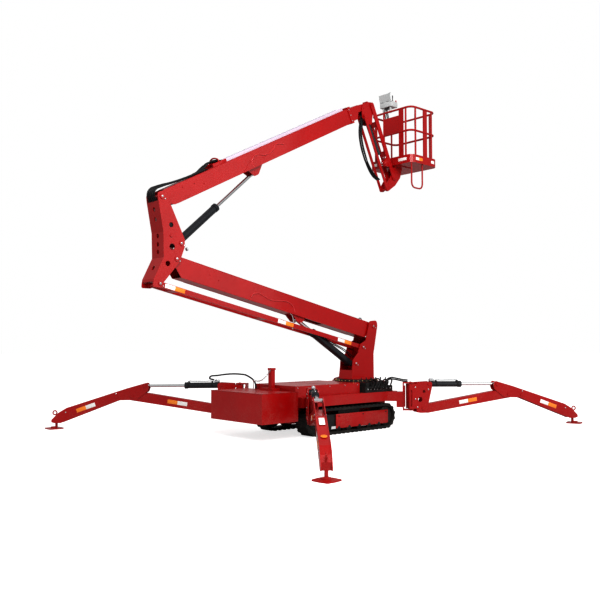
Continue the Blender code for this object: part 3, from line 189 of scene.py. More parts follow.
def new_group(name, inputs, outputs):
    group = bpy.data.node_groups.new(name, "ShaderNodeTree")
    for label, kind, value in inputs:
        socket = group.interface.new_socket(label, in_out="INPUT", socket_type=kind)
        socket.default_value = value
    for label, kind in outputs:
        group.interface.new_socket(label, in_out="OUTPUT", socket_type=kind)
    start = group.nodes.new("NodeGroupInput")
    end = group.nodes.new("NodeGroupOutput")
    return group, start, end


def node(tree, kind, **values):
    made = tree.nodes.new(kind)
    for label, value in values.items():
        setattr(made, label, value)
    return made


def noise(tree, scale, detail, coords):
    made = node(tree, "ShaderNodeTexNoise")
    made.inputs["Scale"].default_value = scale
    made.inputs["Detail"].default_value = detail
    tree.links.new(coords, made.inputs["Vector"])
    return made


def ramp(tree, factor, low, high):
    """Stretches a value so that low becomes 0 and high becomes 1."""
    made = node(tree, "ShaderNodeMapRange")
    made.inputs["From Min"].default_value = low
    made.inputs["From Max"].default_value = high
    tree.links.new(factor, made.inputs["Value"])
    return made.outputs["Result"]


def maths(tree, operation, first, second):
    made = node(tree, "ShaderNodeMath", operation=operation)
    for socket, value in zip(made.inputs, (first, second)):
        if isinstance(value, (int, float)):
            socket.default_value = value
        else:
            tree.links.new(value, socket)
    return made.outputs[0]


def mixed(tree, factor, first, second):
    made = node(tree, "ShaderNodeMix", data_type="RGBA")
    tree.links.new(factor, made.inputs["Factor"])
    for socket, value in ((made.inputs[6], first), (made.inputs[7], second)):
        if isinstance(value, tuple):
            socket.default_value = (*value, 1)
        else:
            tree.links.new(value, socket)
    return made.outputs[2]


# %% Effect: weathered coat
def build_weathering():
    """Colour drift, low dust and fine streaks, as a colour, a roughness and a height."""
    group, start, end = new_group(
        "weathered coat",
        [("Color", "NodeSocketColor", (0.5, 0.5, 0.5, 1)), ("Shade", "NodeSocketColor", (0.3, 0.3, 0.3, 1)),
         ("Roughness", "NodeSocketFloat", 0.3), ("Drift", "NodeSocketFloat", 0.3),
         ("Dust", "NodeSocketFloat", 0.2), ("Grain", "NodeSocketFloat", 0.5)],
        [("Color", "NodeSocketColor"), ("Roughness", "NodeSocketFloat"), ("Height", "NodeSocketFloat")])
    tree = group
    coords = node(tree, "ShaderNodeTexCoord").outputs["Object"]
    broad = ramp(tree, noise(tree, 1.7, 3, coords).outputs["Fac"], 0.35, 0.68)
    cloudy = ramp(tree, noise(tree, 14, 4, coords).outputs["Fac"], 0.4, 0.7)
    drift = maths(tree, "MULTIPLY", maths(tree, "ADD", broad, maths(tree, "MULTIPLY", cloudy, 0.35)),
                  start.outputs["Drift"])
    toned = mixed(tree, drift, start.outputs["Color"], start.outputs["Shade"])
    height = node(tree, "ShaderNodeSeparateXYZ")
    tree.links.new(coords, height.inputs[0])
    low = ramp(tree, height.outputs["Z"], 1.0, 0.0)
    specks = ramp(tree, noise(tree, 60, 5, coords).outputs["Fac"], 0.42, 0.66)
    patches = ramp(tree, noise(tree, 3.1, 5, coords).outputs["Fac"], 0.36, 0.7)
    dust = maths(tree, "MULTIPLY", maths(tree, "MULTIPLY", low, patches), specks)
    dust = maths(tree, "MULTIPLY", dust, start.outputs["Dust"])
    dusty = mixed(tree, dust, toned, (0.42, 0.34, 0.27))
    tree.links.new(dusty, end.inputs["Color"])
    rough = maths(tree, "ADD", start.outputs["Roughness"], maths(tree, "MULTIPLY", cloudy, 0.05))
    rough = maths(tree, "ADD", rough, maths(tree, "MULTIPLY", dust, 0.5))
    tree.links.new(rough, end.inputs["Roughness"])
    peel = noise(tree, 420, 2, coords).outputs["Fac"]
    wave = noise(tree, 6, 1, coords).outputs["Fac"]
    grain = maths(tree, "MULTIPLY", peel, start.outputs["Grain"])
    tree.links.new(maths(tree, "ADD", grain, maths(tree, "MULTIPLY", wave, 0.8)), end.inputs["Height"])
    return group


WEATHERED = build_weathering()


# %% Effect: turned steel
def build_turning():
    """Fine scratches and stains of a rod or a bolt, as a colour, a roughness and a height."""
    group, start, end = new_group(
        "turned steel",
        [("Color", "NodeSocketColor", (0.7, 0.7, 0.7, 1)), ("Stain", "NodeSocketColor", (0.2, 0.17, 0.14, 1)),
         ("Roughness", "NodeSocketFloat", 0.15), ("Stains", "NodeSocketFloat", 0.3)],
        [("Color", "NodeSocketColor"), ("Roughness", "NodeSocketFloat"), ("Height", "NodeSocketFloat")])
    tree = group
    coords = node(tree, "ShaderNodeTexCoord").outputs["Object"]
    scratch = noise(tree, 240, 6, coords).outputs["Fac"]
    blots = ramp(tree, noise(tree, 22, 5, coords).outputs["Fac"], 0.5, 0.72)
    stain = maths(tree, "MULTIPLY", blots, start.outputs["Stains"])
    tree.links.new(mixed(tree, stain, start.outputs["Color"], start.outputs["Stain"]), end.inputs["Color"])
    rough = maths(tree, "ADD", start.outputs["Roughness"], maths(tree, "MULTIPLY", scratch, 0.12))
    rough = maths(tree, "ADD", rough, maths(tree, "MULTIPLY", stain, 0.4))
    tree.links.new(rough, end.inputs["Roughness"])
    tree.links.new(scratch, end.inputs["Height"])
    return group


TURNED = build_turning()
print("effects:", WEATHERED.name, "and", TURNED.name)

# %% [markdown]
# ## Finishes
# The machine wears a deep red two-layer paint: the colour sits under a clear coat, so the
# shader gets a coat of its own. Cylinders are satin black, rods are hard chrome, and the small
# parts are zinc, rubber or moulded plastic.

# %% Finish maker


def finish(name, effect, inputs, bump, **uniform):
    """A material that reads one effect group; uniform values go straight on the shader."""
    made = bpy.data.materials.new(name)
    made.use_nodes = True
    tree = made.node_tree
    shader = tree.nodes["Principled BSDF"]
    effect_node = node(tree, "ShaderNodeGroup", node_tree=effect)
    for label, value in inputs.items():
        effect_node.inputs[label].default_value = (*value, 1) if isinstance(value, tuple) else value
    tree.links.new(effect_node.outputs["Color"], shader.inputs["Base Color"])
    tree.links.new(effect_node.outputs["Roughness"], shader.inputs["Roughness"])
    relief = node(tree, "ShaderNodeBump")
    relief.inputs["Strength"].default_value = bump
    relief.inputs["Distance"].default_value = 0.001
    tree.links.new(effect_node.outputs["Height"], relief.inputs["Height"])
    tree.links.new(relief.outputs["Normal"], shader.inputs["Normal"])
    for label, value in uniform.items():
        shader.inputs[label.replace("_", " ")].default_value = value
    return made


# %% The finishes
RED = finish("red paint", WEATHERED,
             {"Color": (0.41, 0.0012, 0.0020), "Shade": (0.29, 0.0010, 0.0016), "Roughness": 0.36,
              "Drift": 0.35, "Dust": 0.22, "Grain": 0.25}, 0.10,
             Coat_Weight=0.32, Coat_Roughness=0.10, Specular_IOR_Level=0.3)
BLACK = finish("black paint", WEATHERED,
               {"Color": (0.016, 0.018, 0.022), "Shade": (0.035, 0.037, 0.042), "Roughness": 0.30,
                "Drift": 0.5, "Dust": 0.12, "Grain": 0.4}, 0.2,
               Coat_Weight=0.15, Coat_Roughness=0.15, Specular_IOR_Level=0.3)
DARK_IRON = finish("dark iron", WEATHERED,
                   {"Color": (0.014, 0.014, 0.015), "Shade": (0.035, 0.032, 0.030), "Roughness": 0.5,
                    "Drift": 0.6, "Dust": 0.16, "Grain": 1.2}, 0.4, Specular_IOR_Level=0.3)
RUBBER = finish("track rubber", WEATHERED,
                {"Color": (0.009, 0.009, 0.009), "Shade": (0.020, 0.019, 0.018), "Roughness": 0.66,
                 "Drift": 0.7, "Dust": 0.14, "Grain": 1.6}, 0.5, Specular_IOR_Level=0.3)
HOSE = finish("hose rubber", WEATHERED,
              {"Color": (0.008, 0.008, 0.009), "Shade": (0.018, 0.018, 0.018), "Roughness": 0.40,
               "Drift": 0.5, "Dust": 0.06, "Grain": 1.0}, 0.35, Specular_IOR_Level=0.3)
GREY = finish("grey plastic", WEATHERED,
              {"Color": (0.56, 0.57, 0.57), "Shade": (0.44, 0.45, 0.45), "Roughness": 0.45,
               "Drift": 0.5, "Dust": 0.2, "Grain": 0.8}, 0.3)
# A lilac grey, darker than the tray's white-ish plastic: painted shade over the whole tray.
SHADED_TRAY = finish("tray plastic with painted shade", WEATHERED,
              {"Color": (0.66, 0.60, 0.69), "Shade": (0.52, 0.46, 0.55), "Roughness": 0.38,
               "Drift": 0.5, "Dust": 0.1, "Grain": 0.5}, 0.25)
PAD = finish("wear pad plastic", WEATHERED,
             {"Color": (0.10, 0.012, 0.014), "Shade": (0.04, 0.01, 0.012), "Roughness": 0.5,
              "Drift": 0.6, "Dust": 0.2, "Grain": 0.8}, 0.3)
# The doubler plates' weld beads get a red lighter than the paint: a painted highlight along the plates'
# edges.
WELD_HIGHLIGHT = finish("weld with painted highlight", WEATHERED,
              {"Color": (0.52, 0.035, 0.038), "Shade": (0.42, 0.020, 0.022), "Roughness": 0.3,
               "Drift": 0.2, "Dust": 0.1, "Grain": 0.3}, 0.1, Coat_Weight=0.4, Coat_Roughness=0.1)
WHITE_TAPE = finish("white tape", WEATHERED,
                    {"Color": (0.86, 0.86, 0.84), "Shade": (0.74, 0.73, 0.70), "Roughness": 0.35,
                     "Drift": 0.4, "Dust": 0.2, "Grain": 1.6}, 0.3)
ORANGE_TAPE = finish("orange tape", WEATHERED,
                     {"Color": (0.90, 0.30, 0.03), "Shade": (0.72, 0.20, 0.02), "Roughness": 0.35,
                      "Drift": 0.4, "Dust": 0.2, "Grain": 1.6}, 0.3)
CHROME = finish("hard chrome", TURNED,
                {"Color": (0.78, 0.79, 0.80), "Stain": (0.35, 0.33, 0.30), "Roughness": 0.07,
                 "Stains": 0.15}, 0.05, Metallic=1.0)
ZINC = finish("bright zinc", TURNED,
              {"Color": (0.62, 0.63, 0.64), "Stain": (0.20, 0.17, 0.14), "Roughness": 0.28,
               "Stains": 0.5}, 0.2, Metallic=1.0)
GOLD_ZINC = finish("yellow zinc", TURNED,
                   {"Color": (0.72, 0.50, 0.22), "Stain": (0.25, 0.16, 0.07), "Roughness": 0.32,
                    "Stains": 0.5}, 0.2, Metallic=1.0)

# %% Dress the frame's own parts
SATIN = ("engine_block", "slew_ring", "valve_block")


def dress(name, finish_):
    slots = frame["nodes"][name].data.materials
    if len(slots):
        slots[0] = finish_
    else:
        slots.append(finish_)


for name in frame["nodes"]:
    chosen = RED
    if name.endswith("_barrel"):
        chosen = BLACK
    elif name.endswith("_rod"):
        chosen = CHROME
    elif name.startswith("track_belt"):
        chosen = RUBBER
    elif name in SATIN or name.startswith("track_frame"):
        chosen = DARK_IRON
    elif name == "control_box":
        chosen = GREY
    # The hose tray gets the lilac grey with painted shade.
    elif name == "hose_tray":
        chosen = SHADED_TRAY
    dress(name, chosen)
print("dressed", len(frame["nodes"]), "parts")

# %% [markdown]
# ## Modelling tools
# Small hardware starts as a primitive and is shaped in edit mode: faces are picked by their
# place and normal, then inset, extruded or bevelled. What repeats is modelled once and copied
# to its places. A finished piece sits at the origin and rides on the body that carries it.

# %% Modelling tools


def begin(kind, **size):
    bpy.ops.object.select_all(action="DESELECT")
    getattr(bpy.ops.mesh, "primitive_" + kind + "_add")(**size)
    return bpy.context.object


def in_place(piece):
    """Puts the object's own place, turn and size into its mesh."""
    bpy.ops.object.select_all(action="DESELECT")
    piece.select_set(True)
    bpy.context.view_layer.objects.active = piece
    bpy.ops.object.transform_apply(location=True, rotation=True, scale=True)
    return piece


def pick(piece, wanted):
    """Enters edit mode with only the wanted faces selected; wanted gets a centre and a normal."""
    bpy.context.view_layer.objects.active = piece
    bpy.ops.object.mode_set(mode="EDIT")
    bpy.ops.mesh.select_mode(type="FACE")
    bpy.ops.mesh.select_all(action="DESELECT")
    mesh = bmesh.from_edit_mesh(piece.data)
    for face in mesh.faces:
        face.select_set(bool(wanted(face.calc_center_median(), face.normal)))
    bmesh.update_edit_mesh(piece.data)


def leave(piece):
    bpy.ops.object.mode_set(mode="OBJECT")
    return piece


def softened(piece, width, segments=2, angle=40):
    """Bevels the sharp edges and shades the piece smooth."""
    bevel = piece.modifiers.new("edges", "BEVEL")
    bevel.width, bevel.segments = width, segments
    bevel.limit_method, bevel.angle_limit = "ANGLE", math.radians(angle)
    bpy.ops.object.select_all(action="DESELECT")
    piece.select_set(True)
    bpy.context.view_layer.objects.active = piece
    bpy.ops.object.modifier_apply(modifier=bevel.name)
    bpy.ops.object.shade_smooth_by_angle(angle=math.radians(50))
    return piece


def block(low, high, bevel=0.003):
    """A bevelled block between two corners."""
    centre = [(a + b) / 2 for a, b in zip(low, high)]
    piece = begin("cube", size=1, location=centre)
    piece.scale = [abs(b - a) for a, b in zip(low, high)]
    in_place(piece)
    return softened(piece, bevel)


def panelled(low, high, axis, margin, depth, bevel=0.003):
    """A block whose two faces along an axis have a raised or sunk field."""
    centre = [(a + b) / 2 for a, b in zip(low, high)]
    piece = begin("cube", size=1, location=centre)
    piece.scale = [abs(b - a) for a, b in zip(low, high)]
    in_place(piece)
    for sign in (-1, 1):
        pick(piece, lambda c, n: n[axis] * sign > 0.9)
        bpy.ops.mesh.inset(thickness=margin, depth=depth)
        leave(piece)
    return softened(piece, bevel)


def stepped(radius, depth, steps, sides=16, bevel=0.0015):
    """A turned shape on Z from its foot: each step is (inset, rise) of the top face."""
    piece = begin("cylinder", vertices=sides, radius=radius, depth=depth, location=(0, 0, depth / 2))
    pick(piece, lambda c, n: n.z > 0.9)
    for inset, rise in steps:
        if inset:
            bpy.ops.mesh.inset(thickness=inset, depth=0)
        if rise:
            bpy.ops.mesh.extrude_region_move(TRANSFORM_OT_translate={"value": (0, 0, rise)})
    leave(piece)
    return softened(piece, bevel, segments=1)


def tube(points, radius, seat_, sides=3, closed=False):
    """A round tube through points, as a mesh; the points are in a seat's own coordinates."""
    bpy.ops.object.select_all(action="DESELECT")
    curve = bpy.data.curves.new("tube", "CURVE")
    curve.dimensions = "3D"
    curve.bevel_depth = radius
    curve.bevel_resolution = sides
    curve.use_fill_caps = True
    curve.resolution_u = 6
    spline = curve.splines.new("BEZIER")
    spline.bezier_points.add(len(points) - 1)
    for knot, place in zip(spline.bezier_points, points):
        knot.co = seat_ @ Vector(place)
        knot.handle_left_type = knot.handle_right_type = "AUTO"
    spline.use_cyclic_u = closed
    piece = bpy.data.objects.new("tube", curve)
    bpy.context.scene.collection.objects.link(piece)
    piece.select_set(True)
    bpy.context.view_layer.objects.active = piece
    bpy.ops.object.convert(target="MESH")
    piece = bpy.context.object
    bpy.ops.object.shade_smooth_by_angle(angle=math.radians(50))
    return piece


def copies(master, places):
    """Copies of a master, each with its own mesh, joined into one piece; the master goes."""
    bpy.ops.object.select_all(action="DESELECT")
    made = []
    for place in places:
        twin = master.copy()
        twin.data = master.data.copy()
        twin.data.transform(place)
        if place.to_3x3().determinant() < 0:
            twin.data.flip_normals()
        bpy.context.scene.collection.objects.link(twin)
        made.append(twin)
    bpy.data.objects.remove(master)
    return joined(made)


def joined(parts):
    bpy.ops.object.select_all(action="DESELECT")
    for part in parts:
        part.select_set(True)
    bpy.context.view_layer.objects.active = parts[0]
    if len(parts) > 1:
        bpy.ops.object.join()
    return bpy.context.view_layer.objects.active


def seated(piece, place):
    piece.data.transform(place)
    return piece


added = []


def keep(piece, name, look, body=None):
    """Names a finished piece, gives it one finish and lets it ride on a body."""
    piece.name = name
    piece.data.name = name
    piece.data.materials.clear()
    piece.data.materials.append(look)
    if body:
        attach(piece, body)
    added.append(name)
    return piece


def turned_to(axis, place):
    """A matrix that stands a shape made along Z on a surface that faces an axis."""
    turn = Vector(axis).to_track_quat("Z", "Y").to_matrix().to_4x4()
    return Matrix.Translation(place) @ turn


CHEEK_OUT = 0.1565
BOTH = (-1, 1)

# %% [markdown]
# ## Reflective tape
# White and orange strips mark the link bars, the legs and the cage.

# %% Tape
TAPE = 0.0012


def side_strips(seat_, body, name, along, y_face, low, high, slope=0.0):
    """A white and an orange strip, end to end, on both side faces of an arm."""
    first, middle, last = along
    place = seat_ @ Matrix.Translation((middle[0], 0, middle[1])) @ Matrix.Rotation(-slope, 4, "Y")
    for label, look, a, b in (("white", WHITE_TAPE, first, 0.0), ("orange", ORANGE_TAPE, 0.0, last)):
        sides = [seated(block((min(a, b), s * y_face - TAPE, low), (max(a, b), s * y_face + TAPE, high),
                              0.0004), place) for s in BOTH]
        keep(joined(sides), name + "_" + label + "_tape", look, body)


for number, start in enumerate((0.10, 2.24, 3.62)):
    for sign in (1,):
        side_strips(LINKS, "level_links", "link_bar_%d" % number, (-0.17, (start + 0.17, 0.0), 0.17),
                    0.126, -0.030, 0.030)
for leg, place in LEGS.items():
    body = "leg_" + leg + "_arm"
    side_strips(place, body, leg + "_inner", (-0.17, (1.05, 0.455), 0.17), 0.055, -0.036, 0.030,
                math.radians(8.75))
    side_strips(place, body, leg + "_outer", (-0.17, (2.615, 0.372), 0.17), 0.0685, -0.040, 0.026,
                math.radians(-19.5))
print("tape on", len(LEGS), "legs and the link bars")

# %% [markdown]
# ## Bolts, pin caps and the ring's flange

# %% Fasteners
def hex_bolt(size):
    """A hexagon head on a washer, standing on its seat."""
    washer = stepped(size * 1.15, size * 0.16, [], 16, size * 0.04)
    head = stepped(size * 0.92, size * 0.6, [(size * 0.12, size * 0.06)], 6, size * 0.06)
    seated(head, Matrix.Translation((0, 0, size * 0.15)))
    return joined([washer, head])


ring = seat(pins["slew"], (1, 0, 0), (0, 0, 1))
ring_z = -pins["slew"][2]
flange = stepped(0.382, 0.014, [(0.034, 0), (0.0, 0.006)], 64)
pick(flange, lambda c, n: abs(n.z) > 0.9 and c.xy.length < 0.3)
leave(flange)
keep(seated(flange, ring @ Matrix.Translation((0, 0, ring_z + 0.7865))), "ring_flange", DARK_IRON, "chassis")
places = [ring @ Matrix.Rotation(math.tau * k / 30, 4, "Z") @ Matrix.Translation((0.364, 0, ring_z + 0.7995))
          for k in range(30)]
keep(copies(hex_bolt(0.013), places), "ring_bolts", GOLD_ZINC, "chassis")

SIDE_PINS = {
    "elbow": (ELBOW, [(0, 0), (-0.252, 0.865), (0.073, 0.227), (-0.27, -0.367)], CHEEK_OUT + 0.010),
    "turret": (CHASSIS, [(1.03, 1.752), (0.76, 1.385), (0.575, 1.10)], CHEEK_OUT + 0.010),
}
for body, (seat_, spots, y) in SIDE_PINS.items():
    places = [seat_ @ turned_to((0, s, 0), (x, s * (y - 0.001), z)) for x, z in spots for s in BOTH]
    keep(copies(hex_bolt(0.016), places), body + "_pin_bolts", ZINC, body)
    lugs = []
    for x, z in spots:
        for s in BOTH:
            lugs.append(seat_ @ turned_to((0, s, 0), (x + 0.052, s * (CHEEK_OUT + 0.0002), z - 0.03)))
    keep(copies(hex_bolt(0.010), lugs), body + "_keeper_bolts", ZINC, body)

for leg, place in LEGS.items():
    spots = [place @ turned_to((0, s, 0), (r, s * (0.078 + 0.0005), z))
             for s in BOTH for r, z in ((0.06, 0.70), (0.06, 0.50), (0.10, 0.36), (0.30, 0.66))]
    spots += [place @ turned_to((0, 0, 1), (0, 0, 0.789))]
    keep(copies(hex_bolt(0.011), spots), leg + "_bracket_bolts", ZINC, "leg_" + leg + "_bracket")
print("fasteners done")

# %% [markdown]
# ## Tracks: side panels and rollers

# %% Track panels
TRACK_SIDE = 0.588
for side, sign in (("near", -1), ("far", 1)):
    y0, y1 = sorted((sign * TRACK_SIDE, sign * (TRACK_SIDE + 0.014)))
    plate = panelled((-0.36, y0, 0.088), (0.90, y1, 0.318), 1, 0.012, 0.003, 0.004)
    keep(seated(plate, CHASSIS), "track_panel_" + side, RED, "chassis")
    roller = stepped(0.058, 0.012, [(0.012, 0.006), (0.022, 0.010)], 24, 0.002)
    places = [CHASSIS @ turned_to((0, sign, 0), (x, sign * (TRACK_SIDE + 0.004), 0.092))
              for x in (-0.30, -0.06, 0.18, 0.42, 0.66)]
    keep(copies(roller, places), "track_rollers_" + side, DARK_IRON, "chassis")
    hub = stepped(0.125, 0.012, [(0.02, 0.008), (0.045, 0), (0.0, 0.014)], 32, 0.003)
    places = [CHASSIS @ turned_to((0, sign, 0), (x, sign * 0.5851, 0.215)) for x in (-0.825, 0.845)]
    keep(copies(hub, places[:1]), "track_sprocket_" + side, DARK_IRON, "chassis")
    bolts = copies(hex_bolt(0.012), [CHASSIS @ turned_to((0, sign, 0), (x, sign * (TRACK_SIDE + 0.016), z))
                                     for x, z in ((-0.30, 0.285), (0.27, 0.285), (0.84, 0.285))])
    keep(bolts, "track_panel_bolts_" + side, DARK_IRON, "chassis")
print("tracks done")

# %% [markdown]
# ## Hoses
# The machine's oil lines are black rubber. Those that cross a joint ride on no body.

# %% Hoses over the elbow and along the upper boom
HOSE_R = 0.011


def hose(name, points, seat_, body, across=None, radius=HOSE_R):
    """A hose that rides on one body, or on no body where it crosses a joint between two of them."""
    piece = tube(points, radius, seat_)
    if across:
        keep(piece, name, HOSE)
        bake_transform(piece)
    else:
        keep(piece, name, HOSE, body)
    return piece


for number, y in enumerate((-0.080, -0.052, -0.024, 0.008, 0.040, 0.070)):
    lift = 0.010 * (number % 3)
    points = [(0.010, y * 0.8, -0.15), (-0.040, y, -0.085), (-0.068 - lift, y, 0.00),
              (-0.055 - lift, y, 0.080), (-0.005, y, 0.118 + lift),
              (0.10, y, 0.122 + lift), (0.30, y, 0.106 + lift * 0.5),
              (0.60, y, 0.090), (0.96, y, 0.084)]
    hose("elbow_hose_%d" % number, points, UPPER, None, ("elbow", "upper_boom"),
         radius=0.012)
for number, y in enumerate((-0.045, -0.020, 0.005, 0.030, 0.052)):
    points = [(x, y + 0.003 * math.sin(x * 5 + number), 0.0885) for x in (1.34, 2.0, 2.7, 3.4, 4.0, 4.17)]
    hose("tray_hose_%d" % number, points, UPPER, "upper_boom", radius=0.0095)
arch = tube([(1.20, -0.105, 0.072), (1.20, -0.105, 0.14), (1.20, -0.08, 0.168), (1.20, 0.08, 0.168),
             (1.20, 0.105, 0.14), (1.20, 0.105, 0.072)], 0.011, UPPER)
cheek = [block((1.06, s * 0.112 - 0.004, 0.070), (1.34, s * 0.112 + 0.004, 0.125), 0.003) for s in BOTH]
guard = seated(panelled((1.02, -0.11, 0.0705), (1.24, 0.11, 0.0745), 2, 0.02, 0.001, 0.002), UPPER)
keep(joined([arch, guard, *[seated(side, UPPER) for side in cheek]]), "hose_guide", RED, "upper_boom")
for number, (y, rise) in enumerate(((-0.075, 0.165), (-0.03, 0.150), (0.02, 0.158), (0.06, 0.145))):
    points = [(1.44, y * 0.6, 0.089), (1.30, y * 0.8, 0.112), (1.18, y, rise - 0.012), (1.06, y, rise),
              (0.95, y, 0.124), (0.86, y, 0.096), (0.78, y, 0.090)]
    hose("boom_loop_hose_%d" % number, points, UPPER, "upper_boom", radius=0.010)

# %% Hoses of the jib, the legs and the lower cylinder
JIB_HOSES = ((-0.030, 0.0), (-0.006, 0.014), (0.018, -0.004), (0.040, -0.045), (0.008, -0.060))
for number, (y, out) in enumerate(JIB_HOSES):
    points = [(0.92, y, 5.60), (0.885 - out, y, 5.46), (0.860 - out, y, 5.28), (0.885 - out, y, 5.08),
              (0.965 - out, y, 4.86), (1.09 - out * 0.5, y, 4.66), (1.24, y, 4.52), (1.36, y, 4.46)]
    hose("jib_hose_%d" % number, points, CHASSIS, None, ("boom_head", "jib_arm_front"),
         radius=0.0105)

for leg, place in LEGS.items():
    body = "leg_" + leg + "_cylinder_barrel"
    pipe = tube([(0.40, 0, 0.798), (0.44, 0, 0.812), (0.60, 0, 0.812), (0.80, 0, 0.812),
                 (0.875, 0, 0.808), (0.89, 0, 0.790)], 0.0075, place)
    clamp = stepped(0.054, 0.018, [(0.004, 0.003)], 24)
    rings = copies(clamp, [place @ turned_to((1, 0, -0.013), (r, 0, 0.748 - 0.013 * (r - 0.315)))
                           for r in (0.47, 0.86)])
    keep(pipe, leg + "_pipe", ZINC, body)
    keep(rings, leg + "_barrel_bands", DARK_IRON, body)
    valve = block((0.345, -0.026, 0.795), (0.425, 0.026, 0.835), 0.004)
    studs = copies(hex_bolt(0.011), [Matrix.Translation((r, y, 0.835)) for r, y in
                                     ((0.36, 0.0), (0.395, 0.012), (0.405, -0.014))])
    keep(seated(valve, place), leg + "_valve", ZINC, body)
    keep(seated(studs, place), leg + "_valve_studs", ZINC, body)

reach = LEGS["rear_far"]
back = CHASSIS.inverted() @ reach
start_points = [tuple(back @ Vector(p))
                for p in ((0.43, 0.052, 0.838), (0.50, 0.088, 0.875), (0.36, 0.092, 0.915))]
hose("rear_leg_hose", start_points + [(-1.20, 0.78, 0.935), (-1.19, 0.60, 0.900), (-1.185, 0.46, 0.82),
                                      (-1.185, 0.42, 0.725)], CHASSIS, None,
     ("leg_rear_far_bracket", "chassis"), radius=0.013)
for number, y in enumerate((-0.03, 0.03)):
    points = [(0.64, y, 1.20), (0.50, y, 1.30), (0.10, y, 1.47), (-0.20, y, 1.60), (-0.30, y, 1.635)]
    hose("lower_cylinder_line_%d" % number, points, CHASSIS, "lower_cylinder_barrel", radius=0.008)
print("hoses done")

# %% [markdown]
# ## Valve bank, rest chain and covers

# %% Valve bank with its levers
levers = []
for x in (0.405, 0.525, 0.645, 0.765, 0.885):
    for y in (-0.555, -0.445):
        stick = stepped(0.006, 0.052, [(0.0, 0.0)], 8, 0.0006)
        knob = stepped(0.008, 0.008, [(-0.005, 0.006), (0, 0.012), (0.005, 0.004)], 12, 0.0015)
        seated(knob, Matrix.Translation((0, 0, 0.051)))
        lever = joined([stick, knob])
        lean = Matrix.Rotation(math.radians(8 if y < -0.5 else -6), 4, "X")
        levers.append(seated(lever, CHASSIS @ Matrix.Translation((x, y, 0.7895)) @ lean))
keep(joined(levers), "valve_levers", DARK_IRON, "chassis")
fittings = copies(hex_bolt(0.014), [CHASSIS @ turned_to((0, -1, 0), (x, -0.600, 0.68))
                                    for x in (0.40, 0.47, 0.56, 0.63, 0.72, 0.79, 0.88, 0.96)])
keep(fittings, "valve_fittings", ZINC, "chassis")
for number, x in enumerate((0.42, 0.50, 0.58, 0.68, 0.78, 0.88)):
    lift = 0.018 * (number % 3)
    points = [(x, -0.598, 0.682), (x, -0.64, 0.690), (x + 0.05, -0.652, 0.735 + lift),
              (x + 0.12, -0.60, 0.785 + lift), (x + 0.16, -0.50, 0.805 + lift), (x + 0.17, -0.43, 0.785),
              (x + 0.17, -0.395, 0.74)]
    hose("valve_hose_%d" % number, points, CHASSIS, "chassis", radius=0.0115)
for number, z in enumerate((0.80, 0.825)):
    points = [(0.92, -0.53, 0.79), (0.99, -0.58, z + 0.03), (1.06, -0.66, z + 0.02), (1.11, -0.76, z),
              (1.15, -0.83, z - 0.006)]
    hose("front_leg_hose_%d" % number, points, CHASSIS, "chassis", radius=0.011)

# %% Chain of the boom rest
REST_X = -1.21
link = begin("torus", major_radius=0.012, minor_radius=0.0028, major_segments=14, minor_segments=6)
link.scale = (1.5, 1.0, 1.0)
in_place(link)
pick(link, lambda c, n: False)
leave(link)
chain = []
top, low = Vector((REST_X - 0.045, -0.02, 1.025)), Vector((REST_X - 0.16, 0.26, 0.862))
count = 15
for k in range(count):
    t = k / (count - 1)
    place = top.lerp(low, t) - Vector((0, 0, 0.07 * math.sin(math.pi * t)))
    ahead = (low - top).normalized() - Vector((0, 0, 0.22 * math.cos(math.pi * t)))
    turn = ahead.to_track_quat("X", "Z").to_matrix().to_4x4()
    chain.append(CHASSIS @ Matrix.Translation(place) @ turn @ Matrix.Rotation(math.pi / 2 * (k % 2), 4, "X"))
keep(copies(link, chain), "rest_chain", ZINC, "chassis")
eye = tube([(REST_X - 0.034, -0.02, 1.005), (REST_X - 0.055, -0.02, 1.010), (REST_X - 0.055, -0.02, 1.030),
            (REST_X - 0.034, -0.02, 1.035)], 0.004, CHASSIS)
anchor = tube([(REST_X - 0.16, 0.265, 0.716), (REST_X - 0.16, 0.265, 0.80), (REST_X - 0.16, 0.265, 0.845),
               (REST_X - 0.16, 0.245, 0.860), (REST_X - 0.16, 0.235, 0.845)], 0.0065, CHASSIS)
keep(joined([eye, anchor]), "rest_chain_eyes", ZINC, "chassis")

# %% Covers: rims, screws and seams
rim = [block((-1.934, -0.640, 0.7155), (-1.211, -0.632, 0.7185), 0.001),
       block((-1.934, -0.640, 0.7155), (-1.926, 0.640, 0.7185), 0.001)]
keep(seated(joined(rim), CHASSIS), "cover_rim", RED, "chassis")
bolts = [CHASSIS @ turned_to((0, -1, 0), (x, -0.5005, 0.76)) for x in (-1.1, -0.75, -0.40, -0.05, 0.25)]
bolts += [CHASSIS @ turned_to((0, 0, 1), (x, y, 0.7905)) for x in (-1.1, -0.42, 0.25) for y in (-0.45, 0.45)]
keep(copies(hex_bolt(0.008), bolts), "deck_screws", ZINC, "chassis")
seam = [block((-0.42, -0.499, 0.7903), (-0.412, 0.499, 0.7922), 0.0006),
        block((-1.147, -0.499, 0.7903), (-1.139, 0.499, 0.7922), 0.0006)]
keep(seated(joined(seam), CHASSIS), "deck_seams", RED, "chassis")
print("chassis hardware done")
